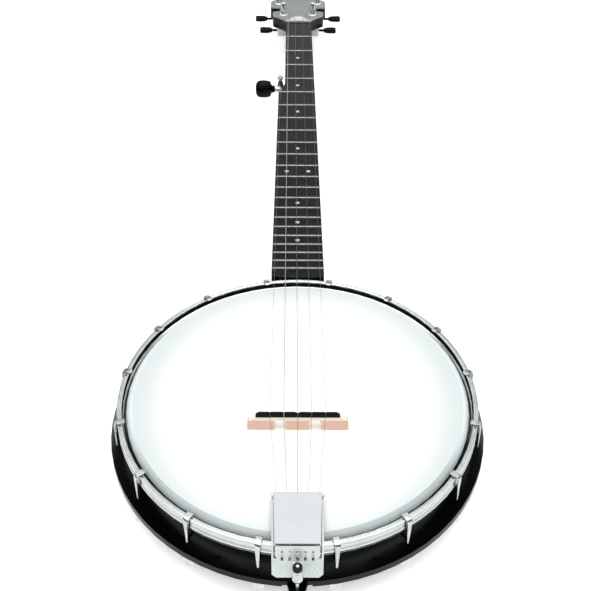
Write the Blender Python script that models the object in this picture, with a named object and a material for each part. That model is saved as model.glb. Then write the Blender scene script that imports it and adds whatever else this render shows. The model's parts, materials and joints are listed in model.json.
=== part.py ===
"""Open-back five-string banjo, 11 inch cast pot, 26.25 inch scale, 22 frets, real size, +Z out of the head.

The banjo lies on its back on the rim, with its neck along +Y. Sizes are in millimetres and turn into
metres in metres(). Pot pieces are placed from the pot's axis with z = 0 on the playing surface of the
head. Neck pieces are placed from the bridge with y along the neck and z = 0 on the fret tops.
"""
import math

import bmesh
import bpy
from mathutils import Matrix, Vector

MM = 0.001
GAP = 0.3                       # between two pieces that touch on the real banjo

# Pot: cast rim, head and hoops. Heights count from the playing surface of the head.
HEAD_HEIGHT = 60.0              # rim foot to playing surface
HEAD_RADIUS = 139.7             # outside of the head's skirt, 11 inches across
HEAD_FILM = 0.35
COLLAR_WIDTH = 5.8              # band between flat playing surface and skirt
COLLAR_DROP = 6.0
HEAD_SKIRT_DROP = 12.4
RIM_WALL = 5.2
RIM_LIP_WALL = 3.0
SKIRT_START_DROP = 14.0
SKIRT_TOP_DROP = 32.0
SKIRT_FOOT_DROP = 38.5
SKIRT_REACH = 5.9               # skirt's edge outside the circle of the hooks
SKIRT_WALL = 3.0
SKIRT_CURVE = 1.28              # 1 is a straight cone, more is a bell
SKIRT_UNDER_FACTOR = 1.3        # upright thickness of the sloping wall over its true wall
RIM_FOOT_CHAMFER = 0.8
SKIRT_PIT_CIRCLE = 150.0        # small pits between the hooks
SKIRT_PIT_RADIUS = 1.2
SKIRT_PIT_DEPTH = 1.2
SKIRT_PIT_SHIFT = 0.006         # radians, keeps the pits off the turned surface's edges
LUG_WIDTH = 15.0
LUG_TOP_DROP = 33.0
LUG_FOOT_DROP = 41.0
LUG_MARGIN = 5.5                # lug past the tail bolt's axis
LUG_NOTCH_WIDTH = 3.4           # relief in the skirt's foot beside the lug
LUG_NOTCH_HEIGHT = 1.8
FLESH_HOOP_WIDTH = 1.9
FLESH_HOOP_HEIGHT = 3.2
HOOP_WIDTH = 4.4
HOOP_RISE = 0.9                 # above the playing surface
HOOP_DROP = 12.5
HOOP_INNER_SET = 0.8            # inner ridge outside the hoop's bore
HOOP_DIP_DEPTH = 0.9            # between the two ridges on top
HOOP_WAIST_DROP = 5.4           # middle of the groove round the outside
HOOP_WAIST_DEPTH = 0.7
HOOP_BEAD_DROP = 8.9            # middle of the bead under it
HOOP_FOOT_SET = 0.8
HOOP_SHELF_WIDTH = 1.9
RING_STEPS = 64

# Hooks and bracket nuts
HOOK_COUNT = 16
HOOK_STAND_OFF = 1.9            # hook axis outside the hoop
HOOK_RADIUS = 1.2
HOOK_CLAW_WIDTH = 5.2
HOOK_CLAW_THICK = 1.1
HOOK_CLAW_OVERHANG = 1.9        # claw's tip inside the hoop's bore
HOOK_FLAT_END = 21.0            # depth at which the flat claw has become the round shaft
HOOK_BOSS_RADIUS = 4.4
BRACKET_NUT_RADIUS = 4.3
BRACKET_NUT_LENGTH = 12.5
HOOK_END_LENGTH = 2.0

# Scale, frets and fingerboard
SCALE = 666.75
FRET_COUNT = 22
FRET_HEIGHT = 1.1
FRET_WIDTH = 2.2
BRIDGE_BACK = 30.8              # bridge behind the pot's axis
BRIDGE_HEIGHT = 15.9
NECK_TILT = 0.022               # radians back from the head's plane
FRET_PLANE_RISE = 10.9          # fret plane over the head, carried back to the bridge
BOARD_THICK = 5.5
BOARD_CLEARANCE = 1.2           # fingerboard end to tension hoop
NUT_RIGHT = 16.2
NUT_LEFT = 14.8
BOARD_END_RIGHT = 23.8
BOARD_END_LEFT = 24.0
FIFTH_FRET_LEFT = 21.8
RAMP_LENGTH = 14.0              # where the neck narrows above the fifth fret
RAMP_START = 4.5                # past the fifth fret
NUT_THICK = 3.2
NUT_RISE = 0.9
NUT_SLOT_WIDTH = 1.3
NUT_SLOT_DEPTH = 0.5
PIP_RADIUS = 1.3
PIP_RISE = 2.4

# Neck wood and heel
NECK_DEPTH_NUT = 13.5
NECK_DEPTH_HEEL = 19.5
HEEL_DEPTH = 55.0
HEEL_LENGTH = 56.0              # from the skirt's edge to the plain grip
HEEL_CURVE = 2.1
HEEL_REACH = 12.0               # heel carried past the fingerboard's end, then cut to the pot
NECK_SIDE = 3.0                 # upright side under the fingerboard
NECK_ROUND = 1.15               # 1 is a half round across, more is narrower at the back
NECK_BACK_FLAT = 0.8            # less is a flatter back
NECK_BOLT_GRIP = 28.0
TRUSS_WIDTH = 6.0
TRUSS_DEPTH = 7.5
TRUSS_START = 12.0              # channel's end from the fingerboard's end
TRUSS_COVER_WIDTH = 19.0
TRUSS_COVER_LENGTH = 15.0
TRUSS_COVER_THICK = 0.8

# Headstock
HEADSTOCK_TILT = math.radians(10.0)
HEADSTOCK_THICK = 14.0
VENEER_THICK = 1.5
HEADSTOCK_SET = 1.1             # face below the fret tops, at the nut
HEADSTOCK_LENGTH = 101.0
HEADSTOCK_LOWER_HALF = 31.6
HEADSTOCK_WAIST_HALF = 22.2
HEADSTOCK_UPPER_HALF = 35.0
POSTS = {"bass_low": (-18.0, 24.0), "bass_high": (-25.0, 72.0),
         "treble_low": (18.0, 24.0), "treble_high": (25.0, 72.0)}

# Tuners
POST_RADIUS = 3.0
POST_RISE = 15.5
POST_WAIST_RISE = 5.4
POST_WAIST_RADIUS = 2.16
SLEEVE_RADIUS = 4.6
WASHER_RADIUS = 5.6
WASHER_RISE = 1.6
HOUSING_WIDTH = 16.0
HOUSING_LENGTH = 17.0
HOUSING_DEPTH = 10.0
HOUSING_CORNER = 3.0
TUNER_SHAFT_RADIUS = 1.9
TUNER_SHAFT_REACH = 15.5        # post axis to the start of the button
BUTTON_LENGTH = 14.2
BUTTON_WIDTH = 11.0
BUTTON_THICK = 6.0
BUTTON_NECK_RADIUS = 2.6

# Fifth tuner, on the side of the neck
FIFTH_PEG_PAST_FRET = 23.5
FIFTH_PEG_DROP = 11.0
FIFTH_POST_X = -20.0
FIFTH_BARREL_RADIUS = 4.2
FIFTH_BARREL_END_X = -26.0
FIFTH_BARREL_SINK = 8.0
FIFTH_POST_TOP = 5.0
FIFTH_BUTTON_LENGTH = 22.0
FIFTH_BUTTON_WIDTH = 16.0
FIFTH_BUTTON_HEIGHT = 21.0
FIFTH_BUTTON_NECK_RADIUS = 3.6
FIFTH_STAND_RADIUS = 3.4        # collar that the upright post turns in
FIFTH_STAND_RISE = 1.2          # its top over the barrel
FIFTH_STEM_RADIUS = 2.2
FIFTH_SPOOL_RADIUS = 3.5
FIFTH_WAIST_RADIUS = 1.9        # where the string lies
FIFTH_WAIST_DROP = 3.2          # its upper end, below the post's top

# Bridge
BRIDGE_FEET_SPAN = 80.0
BRIDGE_TOP_SPAN = 66.5
BRIDGE_FOOT_THICK = 7.0
BRIDGE_TOP_THICK = 2.6
BRIDGE_CAP_HEIGHT = 4.0
BRIDGE_CAP_CHAMFER = (2.6, 2.1)
BRIDGE_SHOULDER_RISE = 8.3      # top of the outer feet's upright ends
BRIDGE_SHOULDER_OUT = 1.2       # base past the cap's ends, at the glue line
BRIDGE_MIDDLE_FOOT = 17.8
BRIDGE_OUTER_FOOT = 21.0
BRIDGE_ARCH_RISE = 9.2
BRIDGE_ARCH_POWER = 0.5         # 1 is a half round, less is squarer
BRIDGE_SPACING = 11.0
BRIDGE_SLOT_DEPTH = 1.0
BRIDGE_SLOT_WIDTH = 1.6
BRIDGE_NOTCH_DEPTH = 1.6        # the wider notch in the middle
BRIDGE_NOTCH_WIDTH = 4.6
BRIDGE_STRING_RISE = 0.8        # string over the bottom of its slot

# Tailpiece, placed from the pot's axis
TAIL_PLATE_STAND = 4.7          # outer face of the rear plate at its top, outside the hoop
TAIL_PLATE_Z = 6.4
TAIL_LENGTH = 45.0              # rear plate to hinge axis
TAIL_FRONT_Z = 8.6
TAIL_FLOOR_RISE = 3.0
TAIL_FLOOR_SHORT = 4.2          # floor stops inside the hoop's bore
TAIL_CHEEK = 1.5
TAIL_FLARE = 0.7                # cheeks stand wider at the hinge
TAIL_RELIEF = 1.1               # slot between cheek and rear plate, with a round foot
TAIL_RELIEF_FOOT = -4.0
TAIL_RELIEF_END_RADIUS = 1.1
TAIL_HOLE_SPACING = 5.6
TAIL_HOLE_RADIUS = 1.0
TAIL_HOLE_RISE = 1.5            # string hole over its tab
TAIL_TAB_TOP = 0.4
TAIL_TAB_HEIGHT = 2.6
TAIL_TAB_WIDTH = 1.6
TAIL_WINDOW_WIDTH = 1.9
TAIL_WINDOW_HEIGHT = 4.0
TAIL_LID_SHORT = 2.2            # lid stops before the rear plate's face
TAIL_LID_FRONT_WIDTH = 36.0
TAIL_LID_REAR_WIDTH = 33.2
TAIL_LID_FALL = math.radians(3.0)
TAIL_SHEET = 1.2
TAIL_WIDTH = 37.6
TAIL_PLATE_LENGTH = 29.6
TAIL_PLATE_LEAN = math.radians(10.0)
TAIL_PLATE_CHAMFER = (3.2, 4.0)
TAIL_EAR_RADIUS = 3.8
TAIL_EAR_DROP = 6.8
TAIL_HINGE_EAR_RADIUS = 2.6
TAIL_BOLT_STAND = 6.4           # bolt's axis outside the skirt's edge
TAIL_BOLT_RADIUS = 1.5
TAIL_NUT_RADIUS = 3.75
TAIL_NUT_TOP = -2.4
TAIL_BELL_RADIUS = 4.35         # swelling collar of the bolt, under the ear
TAIL_BELL_LENGTH = 14.2
TAIL_FOOT_NUT_RADIUS = 3.6
TAIL_FOOT_NUT_HEIGHT = 3.0
TAIL_STRING_SPACING = 8.1
TAIL_PIN_RADIUS = 0.8

# Rod and bolts through the rim
ROD_DROP = 47.0
ROD_RADIUS = 4.8
ROD_NUT_LENGTH = 6.0
ROD_NUT_RADIUS = 6.2
ROD_WASHER = 1.6
ROD_WASHER_RADIUS = 8.0
ROD_THREAD = 14.0               # how far a bolt goes into the rod
BOLT_RADIUS = 3.2
END_BOLT_HEAD = (5.2, 3.2)      # radius and height

STRING_RADII = (0.127, 0.15, 0.205, 0.305, 0.127)
NUT_STRINGS_X = (14.0, 5.3, -3.4, -12.1)
PIP_X = -19.5

# Worked out from the sizes above
HEAD_FLAT_RADIUS = HEAD_RADIUS - COLLAR_WIDTH
RIM_RADIUS = HEAD_RADIUS - HEAD_FILM - 2 * GAP
HOOP_INNER = HEAD_RADIUS + FLESH_HOOP_WIDTH + 2 * GAP
HOOP_OUTER = HOOP_INNER + HOOP_WIDTH
FLESH_TOP = HEAD_SKIRT_DROP - FLESH_HOOP_HEIGHT
HOOK_CIRCLE = HOOP_OUTER + HOOK_STAND_OFF
SKIRT_RADIUS = HOOK_CIRCLE + SKIRT_REACH
TAIL_PLATE_Y = -HOOP_OUTER - TAIL_PLATE_STAND
TAIL_FRONT_Y = TAIL_PLATE_Y + TAIL_LENGTH
TAIL_FLOOR_END = TAIL_FLOOR_SHORT - HOOP_INNER
TAIL_LID_LENGTH = TAIL_LENGTH - TAIL_LID_SHORT
TAIL_BOLT_OUT = SKIRT_RADIUS + TAIL_BOLT_STAND
BRIDGE_Y = -BRIDGE_BACK
BOARD_END = BRIDGE_BACK + HOOP_OUTER + BOARD_CLEARANCE
FIFTH_FRET = SCALE * 2 ** (-5 / 12)
NECK_TOP = -FRET_HEIGHT - BOARD_THICK - GAP
HEEL_FACE = BRIDGE_BACK + SKIRT_RADIUS
HEADSTOCK_START = SCALE + NUT_THICK + GAP


def metres(*values):
    return [value * MM for value in values]


def material(name, colour, roughness, metallic=0.0):
    made = bpy.data.materials.new(name)
    made.use_nodes = True
    shader = made.node_tree.nodes["Principled BSDF"]
    shader.inputs["Base Color"].default_value = (*colour, 1.0)
    shader.inputs["Roughness"].default_value = roughness
    shader.inputs["Metallic"].default_value = metallic
    return made


def frame(name, parent=None, location=(0, 0, 0), tilt=0.0):
    """An empty that carries pieces, tilted about the X axis."""
    empty = bpy.data.objects.new(name, None)
    bpy.context.scene.collection.objects.link(empty)
    empty.parent = parent
    empty.location = metres(*location)
    empty.rotation_euler = (tilt, 0, 0)
    return empty


def add(name, bm, parent, finish, location=(0, 0, 0), rotation=(0, 0, 0), smooth=35):
    """A bmesh in millimetres becomes an object under its carrier."""
    bmesh.ops.remove_doubles(bm, verts=bm.verts, dist=0.001)
    bmesh.ops.scale(bm, vec=(MM, MM, MM), verts=bm.verts)
    bmesh.ops.recalc_face_normals(bm, faces=bm.faces)
    mesh = bpy.data.meshes.new(name)
    bm.to_mesh(mesh)
    bm.free()
    mesh.materials.append(finish)
    mesh.shade_smooth()
    mesh.set_sharp_from_angle(angle=math.radians(smooth))
    item = bpy.data.objects.new(name, mesh)
    bpy.context.scene.collection.objects.link(item)
    item.parent = parent
    item.location = metres(*location)
    item.rotation_euler = rotation
    return item


def combine(target, name, bm, operation="DIFFERENCE"):
    """Cuts a hidden guide from the target, or joins it, in the target's own frame."""
    guide = add(name, bm, target.parent, target.data.materials[0])
    guide.location = target.location
    guide.rotation_euler = target.rotation_euler
    guide.hide_render = True
    guide.display_type = "WIRE"
    modifier = target.modifiers.new(name, "BOOLEAN")
    modifier.operation = operation
    modifier.object = guide


def spin_profile(bm, points, steps, closed):
    verts = [bm.verts.new((radius, 0, height)) for radius, height in points]
    edges = [bm.edges.new(pair) for pair in zip(verts, verts[1:])]
    if closed:
        edges.append(bm.edges.new((verts[-1], verts[0])))
    bmesh.ops.spin(bm, geom=verts + edges, cent=(0, 0, 0), axis=(0, 0, 1),
                   angle=2 * math.pi, steps=steps, use_merge=True)
    bmesh.ops.remove_doubles(bm, verts=bm.verts, dist=0.0005)


def ring(points, steps=RING_STEPS):
    """A closed section of (radius, height) points turned about Z."""
    bm = bmesh.new()
    spin_profile(bm, points, steps, True)
    return bm


def turned(points, steps):
    """A solid turned about Z, from a line of points that starts and ends on the axis."""
    bm = bmesh.new()
    spin_profile(bm, points, steps, False)
    return bm


def loft(bm, sections):
    """Skins a run of sections with the same number of points, and closes both ends."""
    rings = [[bm.verts.new(point) for point in section] for section in sections]
    count = len(sections[0])
    for near, far in zip(rings, rings[1:]):
        for i in range(count):
            j = (i + 1) % count
            bm.faces.new((near[i], near[j], far[j], far[i]))
    bm.faces.new(rings[0])
    bm.faces.new(rings[-1])
    return bm


def block(bm, low, high):
    """A box between two corners."""
    corners = [(low[0], low[1]), (high[0], low[1]), (high[0], high[1]), (low[0], high[1])]
    return loft(bm, [[(x, y, z) for x, y in corners] for z in (low[2], high[2])])


def slab(bm, outline, low, high):
    """An outline of (x, y) points raised from one height to another."""
    return loft(bm, [[(x, y, z) for x, y in outline] for z in (low, high)])


def side_slab(bm, outline, left, right):
    """An outline of (y, z) points carried from one x to another."""
    return loft(bm, [[(x, y, z) for y, z in outline] for x in (left, right)])


def rod(bm, start, end, radius, sides=16, end_radius=None):
    """A round bar between two points."""
    start, end = Vector(start), Vector(end)
    turn = (end - start).to_track_quat("Z", "Y").to_matrix()
    sections = []
    for centre, size in ((start, radius), (end, end_radius or radius)):
        angles = [2 * math.pi * (i + 0.5) / sides for i in range(sides)]
        circle = [Vector((size * math.cos(a), size * math.sin(a), 0)) for a in angles]
        sections.append([centre + turn @ point for point in circle])
    return loft(bm, sections)


def arc(centre, radius, start, end, steps):
    """Points (x, y) along an arc given in degrees."""
    angles = [math.radians(start + (end - start) * i / steps) for i in range(steps + 1)]
    return [(centre[0] + radius * math.cos(a), centre[1] + radius * math.sin(a)) for a in angles]


def skirt_top(radius):
    """Height of the cast skirt's outer surface at a radius."""
    share = max(0.0, (radius - RIM_RADIUS) / (SKIRT_RADIUS - RIM_RADIUS))
    return -SKIRT_START_DROP - (SKIRT_TOP_DROP - SKIRT_START_DROP) * share ** SKIRT_CURVE


def skirt_under(radius):
    return skirt_top(radius) - SKIRT_WALL * SKIRT_UNDER_FACTOR


def rim_section():
    crest = HEAD_FILM + GAP
    bearing = COLLAR_WIDTH - HEAD_FILM - 2 * GAP
    points = []
    for step in range(4):
        turn = math.radians(30 * step)
        points.append((HEAD_FLAT_RADIUS + bearing * math.sin(turn),
                       -crest - COLLAR_DROP * (1 - math.cos(turn))))
    reach = SKIRT_RADIUS - RIM_RADIUS
    points += [(RIM_RADIUS + reach * share, skirt_top(RIM_RADIUS + reach * share))
               for share in (0, 0.3, 0.6, 0.85, 1)]
    inside = SKIRT_RADIUS - SKIRT_WALL
    points += [(SKIRT_RADIUS, -SKIRT_FOOT_DROP), (inside, -SKIRT_FOOT_DROP)]
    reach = inside - RIM_RADIUS
    points += [(RIM_RADIUS + reach * share, skirt_under(RIM_RADIUS + reach * share))
               for share in (1, 0.7, 0.35, 0)]
    wall = RIM_RADIUS - RIM_WALL
    lip = HEAD_FLAT_RADIUS - RIM_LIP_WALL
    points += [(RIM_RADIUS, -HEAD_HEIGHT + RIM_FOOT_CHAMFER),
               (RIM_RADIUS - RIM_FOOT_CHAMFER, -HEAD_HEIGHT),
               (wall, -HEAD_HEIGHT), (wall, -SKIRT_START_DROP),
               (lip, -SKIRT_START_DROP + 2 * RIM_LIP_WALL), (lip, -crest - 1),
               (lip + 1, -crest)]
    return points


def hook_angles():
    """Around the pot from the neck side, none on the neck's own line."""
    return [2 * math.pi * (i + 0.5) / HOOK_COUNT for i in range(HOOK_COUNT)]


def around(angle, radius, height=0.0):
    return Vector((radius * math.sin(angle), radius * math.cos(angle), height))


def lug_outline():
    """The tail lug from above: straight sides out to the skirt's edge, then a rounded end past the bolt."""
    half, inner = LUG_WIDTH / 2, -RIM_RADIUS + RIM_WALL / 2
    reach = TAIL_BOLT_OUT + LUG_MARGIN - SKIRT_RADIUS
    turns = [math.radians(180 * i / 10) for i in range(11)]
    end = [(-half * math.cos(t), -SKIRT_RADIUS - reach * math.sin(t)) for t in turns]
    return [(half, inner), (-half, inner)] + end


def make_rim(pot, finish):
    """The cast pot: rim and bell-shaped skirt in one, with a boss under the skirt for each hook."""
    rim = add("rim", ring(rim_section()), pot, finish)
    bosses = bmesh.new()
    holes = bmesh.new()
    pits = bmesh.new()
    for angle in hook_angles():
        foot = around(angle, HOOK_CIRCLE, -SKIRT_FOOT_DROP)
        before = set(bosses.verts)
        rod(bosses, foot, foot + Vector((0, 0, 1)), HOOK_BOSS_RADIUS, 8)
        for vert in set(bosses.verts) - before:
            if vert.co.z > -SKIRT_FOOT_DROP + 0.5:
                radius = math.hypot(vert.co.x, vert.co.y)
                vert.co.z = skirt_top(radius) - SKIRT_WALL / 2
        above = around(angle, HOOK_CIRCLE, -SKIRT_START_DROP)
        rod(holes, foot - Vector((0, 0, 2)), above, HOOK_RADIUS + GAP, 8)
        between = angle + math.pi / HOOK_COUNT
        if abs(math.sin(between)) > 0.01:
            between += SKIRT_PIT_SHIFT
            floor = skirt_top(SKIRT_PIT_CIRCLE) - SKIRT_PIT_DEPTH
            rod(pits, around(between, SKIRT_PIT_CIRCLE, floor), around(between, SKIRT_PIT_CIRCLE, floor + 6),
                SKIRT_PIT_RADIUS, 6)
    combine(rim, "hook_bosses", bosses, "UNION")
    combine(rim, "tail_lug", slab(bmesh.new(), lug_outline(), -LUG_FOOT_DROP, -LUG_TOP_DROP), "UNION")
    combine(rim, "hook_holes", holes)
    for side in (-1, 1):
        near, far = LUG_WIDTH / 2 + GAP, LUG_WIDTH / 2 + GAP + LUG_NOTCH_WIDTH
        low, high = sorted((side * near, side * far))
        block(pits, (low, -SKIRT_RADIUS - 1, -SKIRT_FOOT_DROP - 1),
              (high, -SKIRT_RADIUS + 2 * SKIRT_WALL, -SKIRT_FOOT_DROP + LUG_NOTCH_HEIGHT))
    combine(rim, "skirt_pits", pits)
    bolts = bmesh.new()
    reach = RIM_RADIUS + 4
    for side in (-1, 1):
        rod(bolts, (0, side * (RIM_RADIUS - 9), -ROD_DROP), (0, side * reach, -ROD_DROP), BOLT_RADIUS + GAP)
    rod(bolts, (0, -TAIL_BOLT_OUT, -LUG_FOOT_DROP - 1), (0, -TAIL_BOLT_OUT, -LUG_TOP_DROP + 1),
        TAIL_BOLT_RADIUS + GAP, 12)
    combine(rim, "bolt_holes", bolts)


def collar_line(width, drop, start):
    """The bent edge of the head, from its flat to its skirt."""
    turns = [math.radians(90 * i / 4) for i in range(5)]
    return [(HEAD_FLAT_RADIUS + width * math.sin(t), start - drop * (1 - math.cos(t))) for t in turns]


def make_head(pot, finish, hoop_finish):
    outside = [(0, 0)] + collar_line(COLLAR_WIDTH, COLLAR_DROP, 0)
    inside = collar_line(COLLAR_WIDTH - HEAD_FILM, COLLAR_DROP - HEAD_FILM, -HEAD_FILM)
    points = outside + [(HEAD_RADIUS, -HEAD_SKIRT_DROP), (HEAD_RADIUS - HEAD_FILM, -HEAD_SKIRT_DROP)]
    points += list(reversed(inside)) + [(0, -HEAD_FILM)]
    add("head", turned(points, RING_STEPS), pot, finish)
    low, high = HEAD_RADIUS + GAP, HOOP_INNER - GAP
    section = [(low, -FLESH_TOP), (high, -FLESH_TOP), (high, -HEAD_SKIRT_DROP), (low, -HEAD_SKIRT_DROP)]
    add("flesh_hoop", ring(section), pot, hoop_finish)


def hoop_section():
    """Two ridges on top, a groove round the outside, a bead under it, and a shelf over the flesh hoop."""
    ridge = HOOP_INNER + HOOP_INNER_SET
    dip = HOOP_RISE - HOOP_DIP_DEPTH
    waist = HOOP_OUTER - HOOP_WAIST_DEPTH
    foot = HOOP_OUTER - HOOP_FOOT_SET
    shelf = HOOP_INNER - HOOP_SHELF_WIDTH
    top = [(HOOP_INNER, -HOOP_RISE), (ridge, HOOP_RISE - 0.1), (ridge + 0.7, HOOP_RISE), (ridge + 1.1, dip),
           (HOOP_OUTER - 1.3, dip), (HOOP_OUTER - 0.9, HOOP_RISE), (HOOP_OUTER - 0.2, HOOP_RISE - 0.1)]
    side = [(HOOP_OUTER, HOOP_RISE - 0.7), (HOOP_OUTER, 1.2 - HOOP_WAIST_DROP),
            (waist, 0.4 - HOOP_WAIST_DROP), (waist, -0.5 - HOOP_WAIST_DROP),
            (HOOP_OUTER - 0.2, 1.6 - HOOP_BEAD_DROP),
            (HOOP_OUTER, 0.6 - HOOP_BEAD_DROP), (HOOP_OUTER, -0.6 - HOOP_BEAD_DROP),
            (HOOP_OUTER - 0.3, -1.7 - HOOP_BEAD_DROP), (foot, -2.6 - HOOP_BEAD_DROP), (foot, -HOOP_DROP)]
    inside = [(HOOP_INNER, -HOOP_DROP), (HOOP_INNER, GAP - FLESH_TOP), (shelf, GAP - FLESH_TOP),
              (shelf, 3.5 - FLESH_TOP), (HOOP_INNER, 5 - FLESH_TOP)]
    return top + side + inside


def claw_sections():
    """Sections of a hook, from the claw's tip over the hoop to the shaft's end, from the hook's axis."""
    tip = HOOP_INNER - HOOK_CLAW_OVERHANG - HOOK_CIRCLE
    over = HOOP_RISE + GAP + HOOK_CLAW_THICK / 2 + 0.1
    end = -SKIRT_FOOT_DROP - GAP - BRACKET_NUT_LENGTH - HOOK_END_LENGTH
    claw, thick, shaft = HOOK_CLAW_WIDTH / 2, HOOK_CLAW_THICK / 2, HOOK_RADIUS
    # offset outward, height, slope of the path in degrees, half width, half thickness, corner share
    stations = [(tip, over - 0.1, 25, claw * 0.6, thick * 0.6, 0.85),
                (tip + 0.7, over + 0.1, 15, claw * 0.9, thick, 0.9),
                (tip + 2.2, over + 0.2, 0, claw, thick, 0.9),
                (-1.6, over + 0.1, -10, claw, thick, 0.9),
                (-0.4, over - 1, -60, claw, thick * 1.2, 0.9),
                (0, over - 4, -90, claw * 0.88, thick * 1.7, 0.85),
                (0, -HOOK_FLAT_END, -90, shaft * 1.1, shaft, 0.75),
                (0, end, -90, shaft, shaft, 0.707)]
    sections = []
    for out, height, slope, wide, deep, corner in stations:
        turn = math.radians(slope)
        normal = Vector((0, -math.sin(turn), math.cos(turn)))
        middle = Vector((0, out, height))
        corners = ((1, 0), (corner, corner), (0, 1), (-corner, corner),
                   (-1, 0), (-corner, -corner), (0, -1), (corner, -corner))
        sections.append([middle + Vector((x * wide, 0, 0)) + normal * up * deep for x, up in corners])
    return sections


def make_hooks(pot, finish):
    nut = -SKIRT_FOOT_DROP - GAP
    for number, angle in enumerate(hook_angles(), 1):
        name = f"hook_{number:02d}"
        place = around(angle, HOOK_CIRCLE)
        spot = {"location": place, "rotation": (0, 0, -angle)}
        hook = add(name, loft(bmesh.new(), claw_sections()), pot, finish, **spot)
        hexagon = rod(bmesh.new(), (0, 0, nut), (0, 0, nut - BRACKET_NUT_LENGTH), BRACKET_NUT_RADIUS, 6)
        combine(hook, f"bracket_nut_{number:02d}", hexagon, "UNION")


def share_between(low, high, value):
    return min(1.0, max(0.0, (value - low) / (high - low)))


def right_edge(y):
    share = (SCALE - y) / (SCALE - BOARD_END)
    return NUT_RIGHT + (BOARD_END_RIGHT - NUT_RIGHT) * share


def left_edge(y):
    if y > FIFTH_FRET + RAMP_START:
        ramp = share_between(FIFTH_FRET + RAMP_START + RAMP_LENGTH, FIFTH_FRET + RAMP_START, y)
        ease = ramp * ramp * (3 - 2 * ramp)
        return -NUT_LEFT - (FIFTH_FRET_LEFT - NUT_LEFT) * ease
    share = (FIFTH_FRET - y) / (FIFTH_FRET - BOARD_END)
    return -FIFTH_FRET_LEFT - (BOARD_END_LEFT - FIFTH_FRET_LEFT) * max(0.0, share)


def ramp_places():
    return [FIFTH_FRET + RAMP_START + RAMP_LENGTH * i / 5 for i in range(6)]


def make_fingerboard(neck, finish):
    """One skin over the board and its frets, which are pressed in: the top rises at each fret."""
    top, low = -FRET_HEIGHT, -FRET_HEIGHT - BOARD_THICK
    stations = [(BOARD_END, top), (SCALE - GAP, top)]
    stations += [(y, top) for y in ramp_places()]
    half = FRET_WIDTH / 2
    for fret in range(1, FRET_COUNT + 1):
        y = SCALE * 2 ** (-fret / 12)
        stations += [(y - half, top), (y - half / 2, 0), (y + half / 2, 0), (y + half, top)]
    sections = []
    for y, height in sorted(stations):
        left, right = left_edge(y), right_edge(y)
        sections.append([(left, y, low), (right, y, low), (right, y, height), (left, y, height)])
    add("fingerboard", loft(bmesh.new(), sections), neck, finish, smooth=20)


def neck_depth(y):
    grip = NECK_DEPTH_NUT + (NECK_DEPTH_HEEL - NECK_DEPTH_NUT) * share_between(SCALE, BOARD_END, y)
    heel = 1 - share_between(HEEL_FACE, HEEL_FACE + HEEL_LENGTH, y)
    return grip + (HEEL_DEPTH - grip) * heel ** HEEL_CURVE


def neck_section(y):
    """A D of 15 points: a short upright side, then the round back."""
    left, right = left_edge(y), right_edge(y)
    middle, half = (left + right) / 2, (right - left) / 2
    depth = neck_depth(y) - NECK_SIDE
    low = NECK_TOP - NECK_SIDE
    points = [(left, y, NECK_TOP), (left, y, low)]
    for step in range(1, 12):
        turn = math.radians(15 * step)
        across = -math.copysign(abs(math.cos(turn)) ** NECK_ROUND, math.cos(turn))
        points.append((middle + half * across, y, low - depth * math.sin(turn) ** NECK_BACK_FLAT))
    return points + [(right, y, low), (right, y, NECK_TOP)]


def headstock_outline():
    """Two rounded cheeks at the tuners with a waist between them, then a crowned end."""
    low, waist, high = HEADSTOCK_LOWER_HALF, HEADSTOCK_WAIST_HALF, HEADSTOCK_UPPER_HALF
    half = [(NUT_LEFT + 0.4, 0), (18, 5), (24, 13.5), (low - 1.4, 20), (low, 24), (low, 35), (low - 1, 38.5),
            (waist + 2.8, 40), (waist + 0.4, 42), (waist, 47), (waist + 0.4, 52), (waist + 2.8, 55),
            (high - 2.5, 56), (high - 0.4, 58.5), (high, 64), (high, 79), (high - 1.6, 85.5)]
    end = HEADSTOCK_LENGTH
    half += [(27.5, end - 8.5), (19, end - 4), (9, end - 1)]
    return half + [(0, end)] + [(-x, y) for x, y in reversed(half)]


def headstock_frame():
    """Headstock face in the neck's own coordinates."""
    place = Matrix.Translation((0, HEADSTOCK_START, -HEADSTOCK_SET))
    return place @ Matrix.Rotation(-HEADSTOCK_TILT, 4, "X")


def heel_cutter(neck_to_pot):
    """The space that hoop, skirt and rim take from the heel, turned about the pot's axis."""
    hoop = HOOP_OUTER + BOARD_CLEARANCE
    steps = [hoop + (SKIRT_RADIUS - hoop) * i / 3 for i in range(4)]
    skirt = [(radius + GAP, skirt_top(radius) + GAP) for radius in steps]
    foot = -HEAD_HEIGHT - 20
    points = [(0, 40), (hoop, 40)] + skirt
    points += [(SKIRT_RADIUS + GAP, -SKIRT_FOOT_DROP - GAP), (RIM_RADIUS + GAP, -SKIRT_FOOT_DROP - GAP),
               (RIM_RADIUS + GAP, foot), (0, foot)]
    cutter = turned(points, RING_STEPS)
    bmesh.ops.transform(cutter, matrix=neck_to_pot, verts=cutter.verts)
    return cutter


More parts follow.
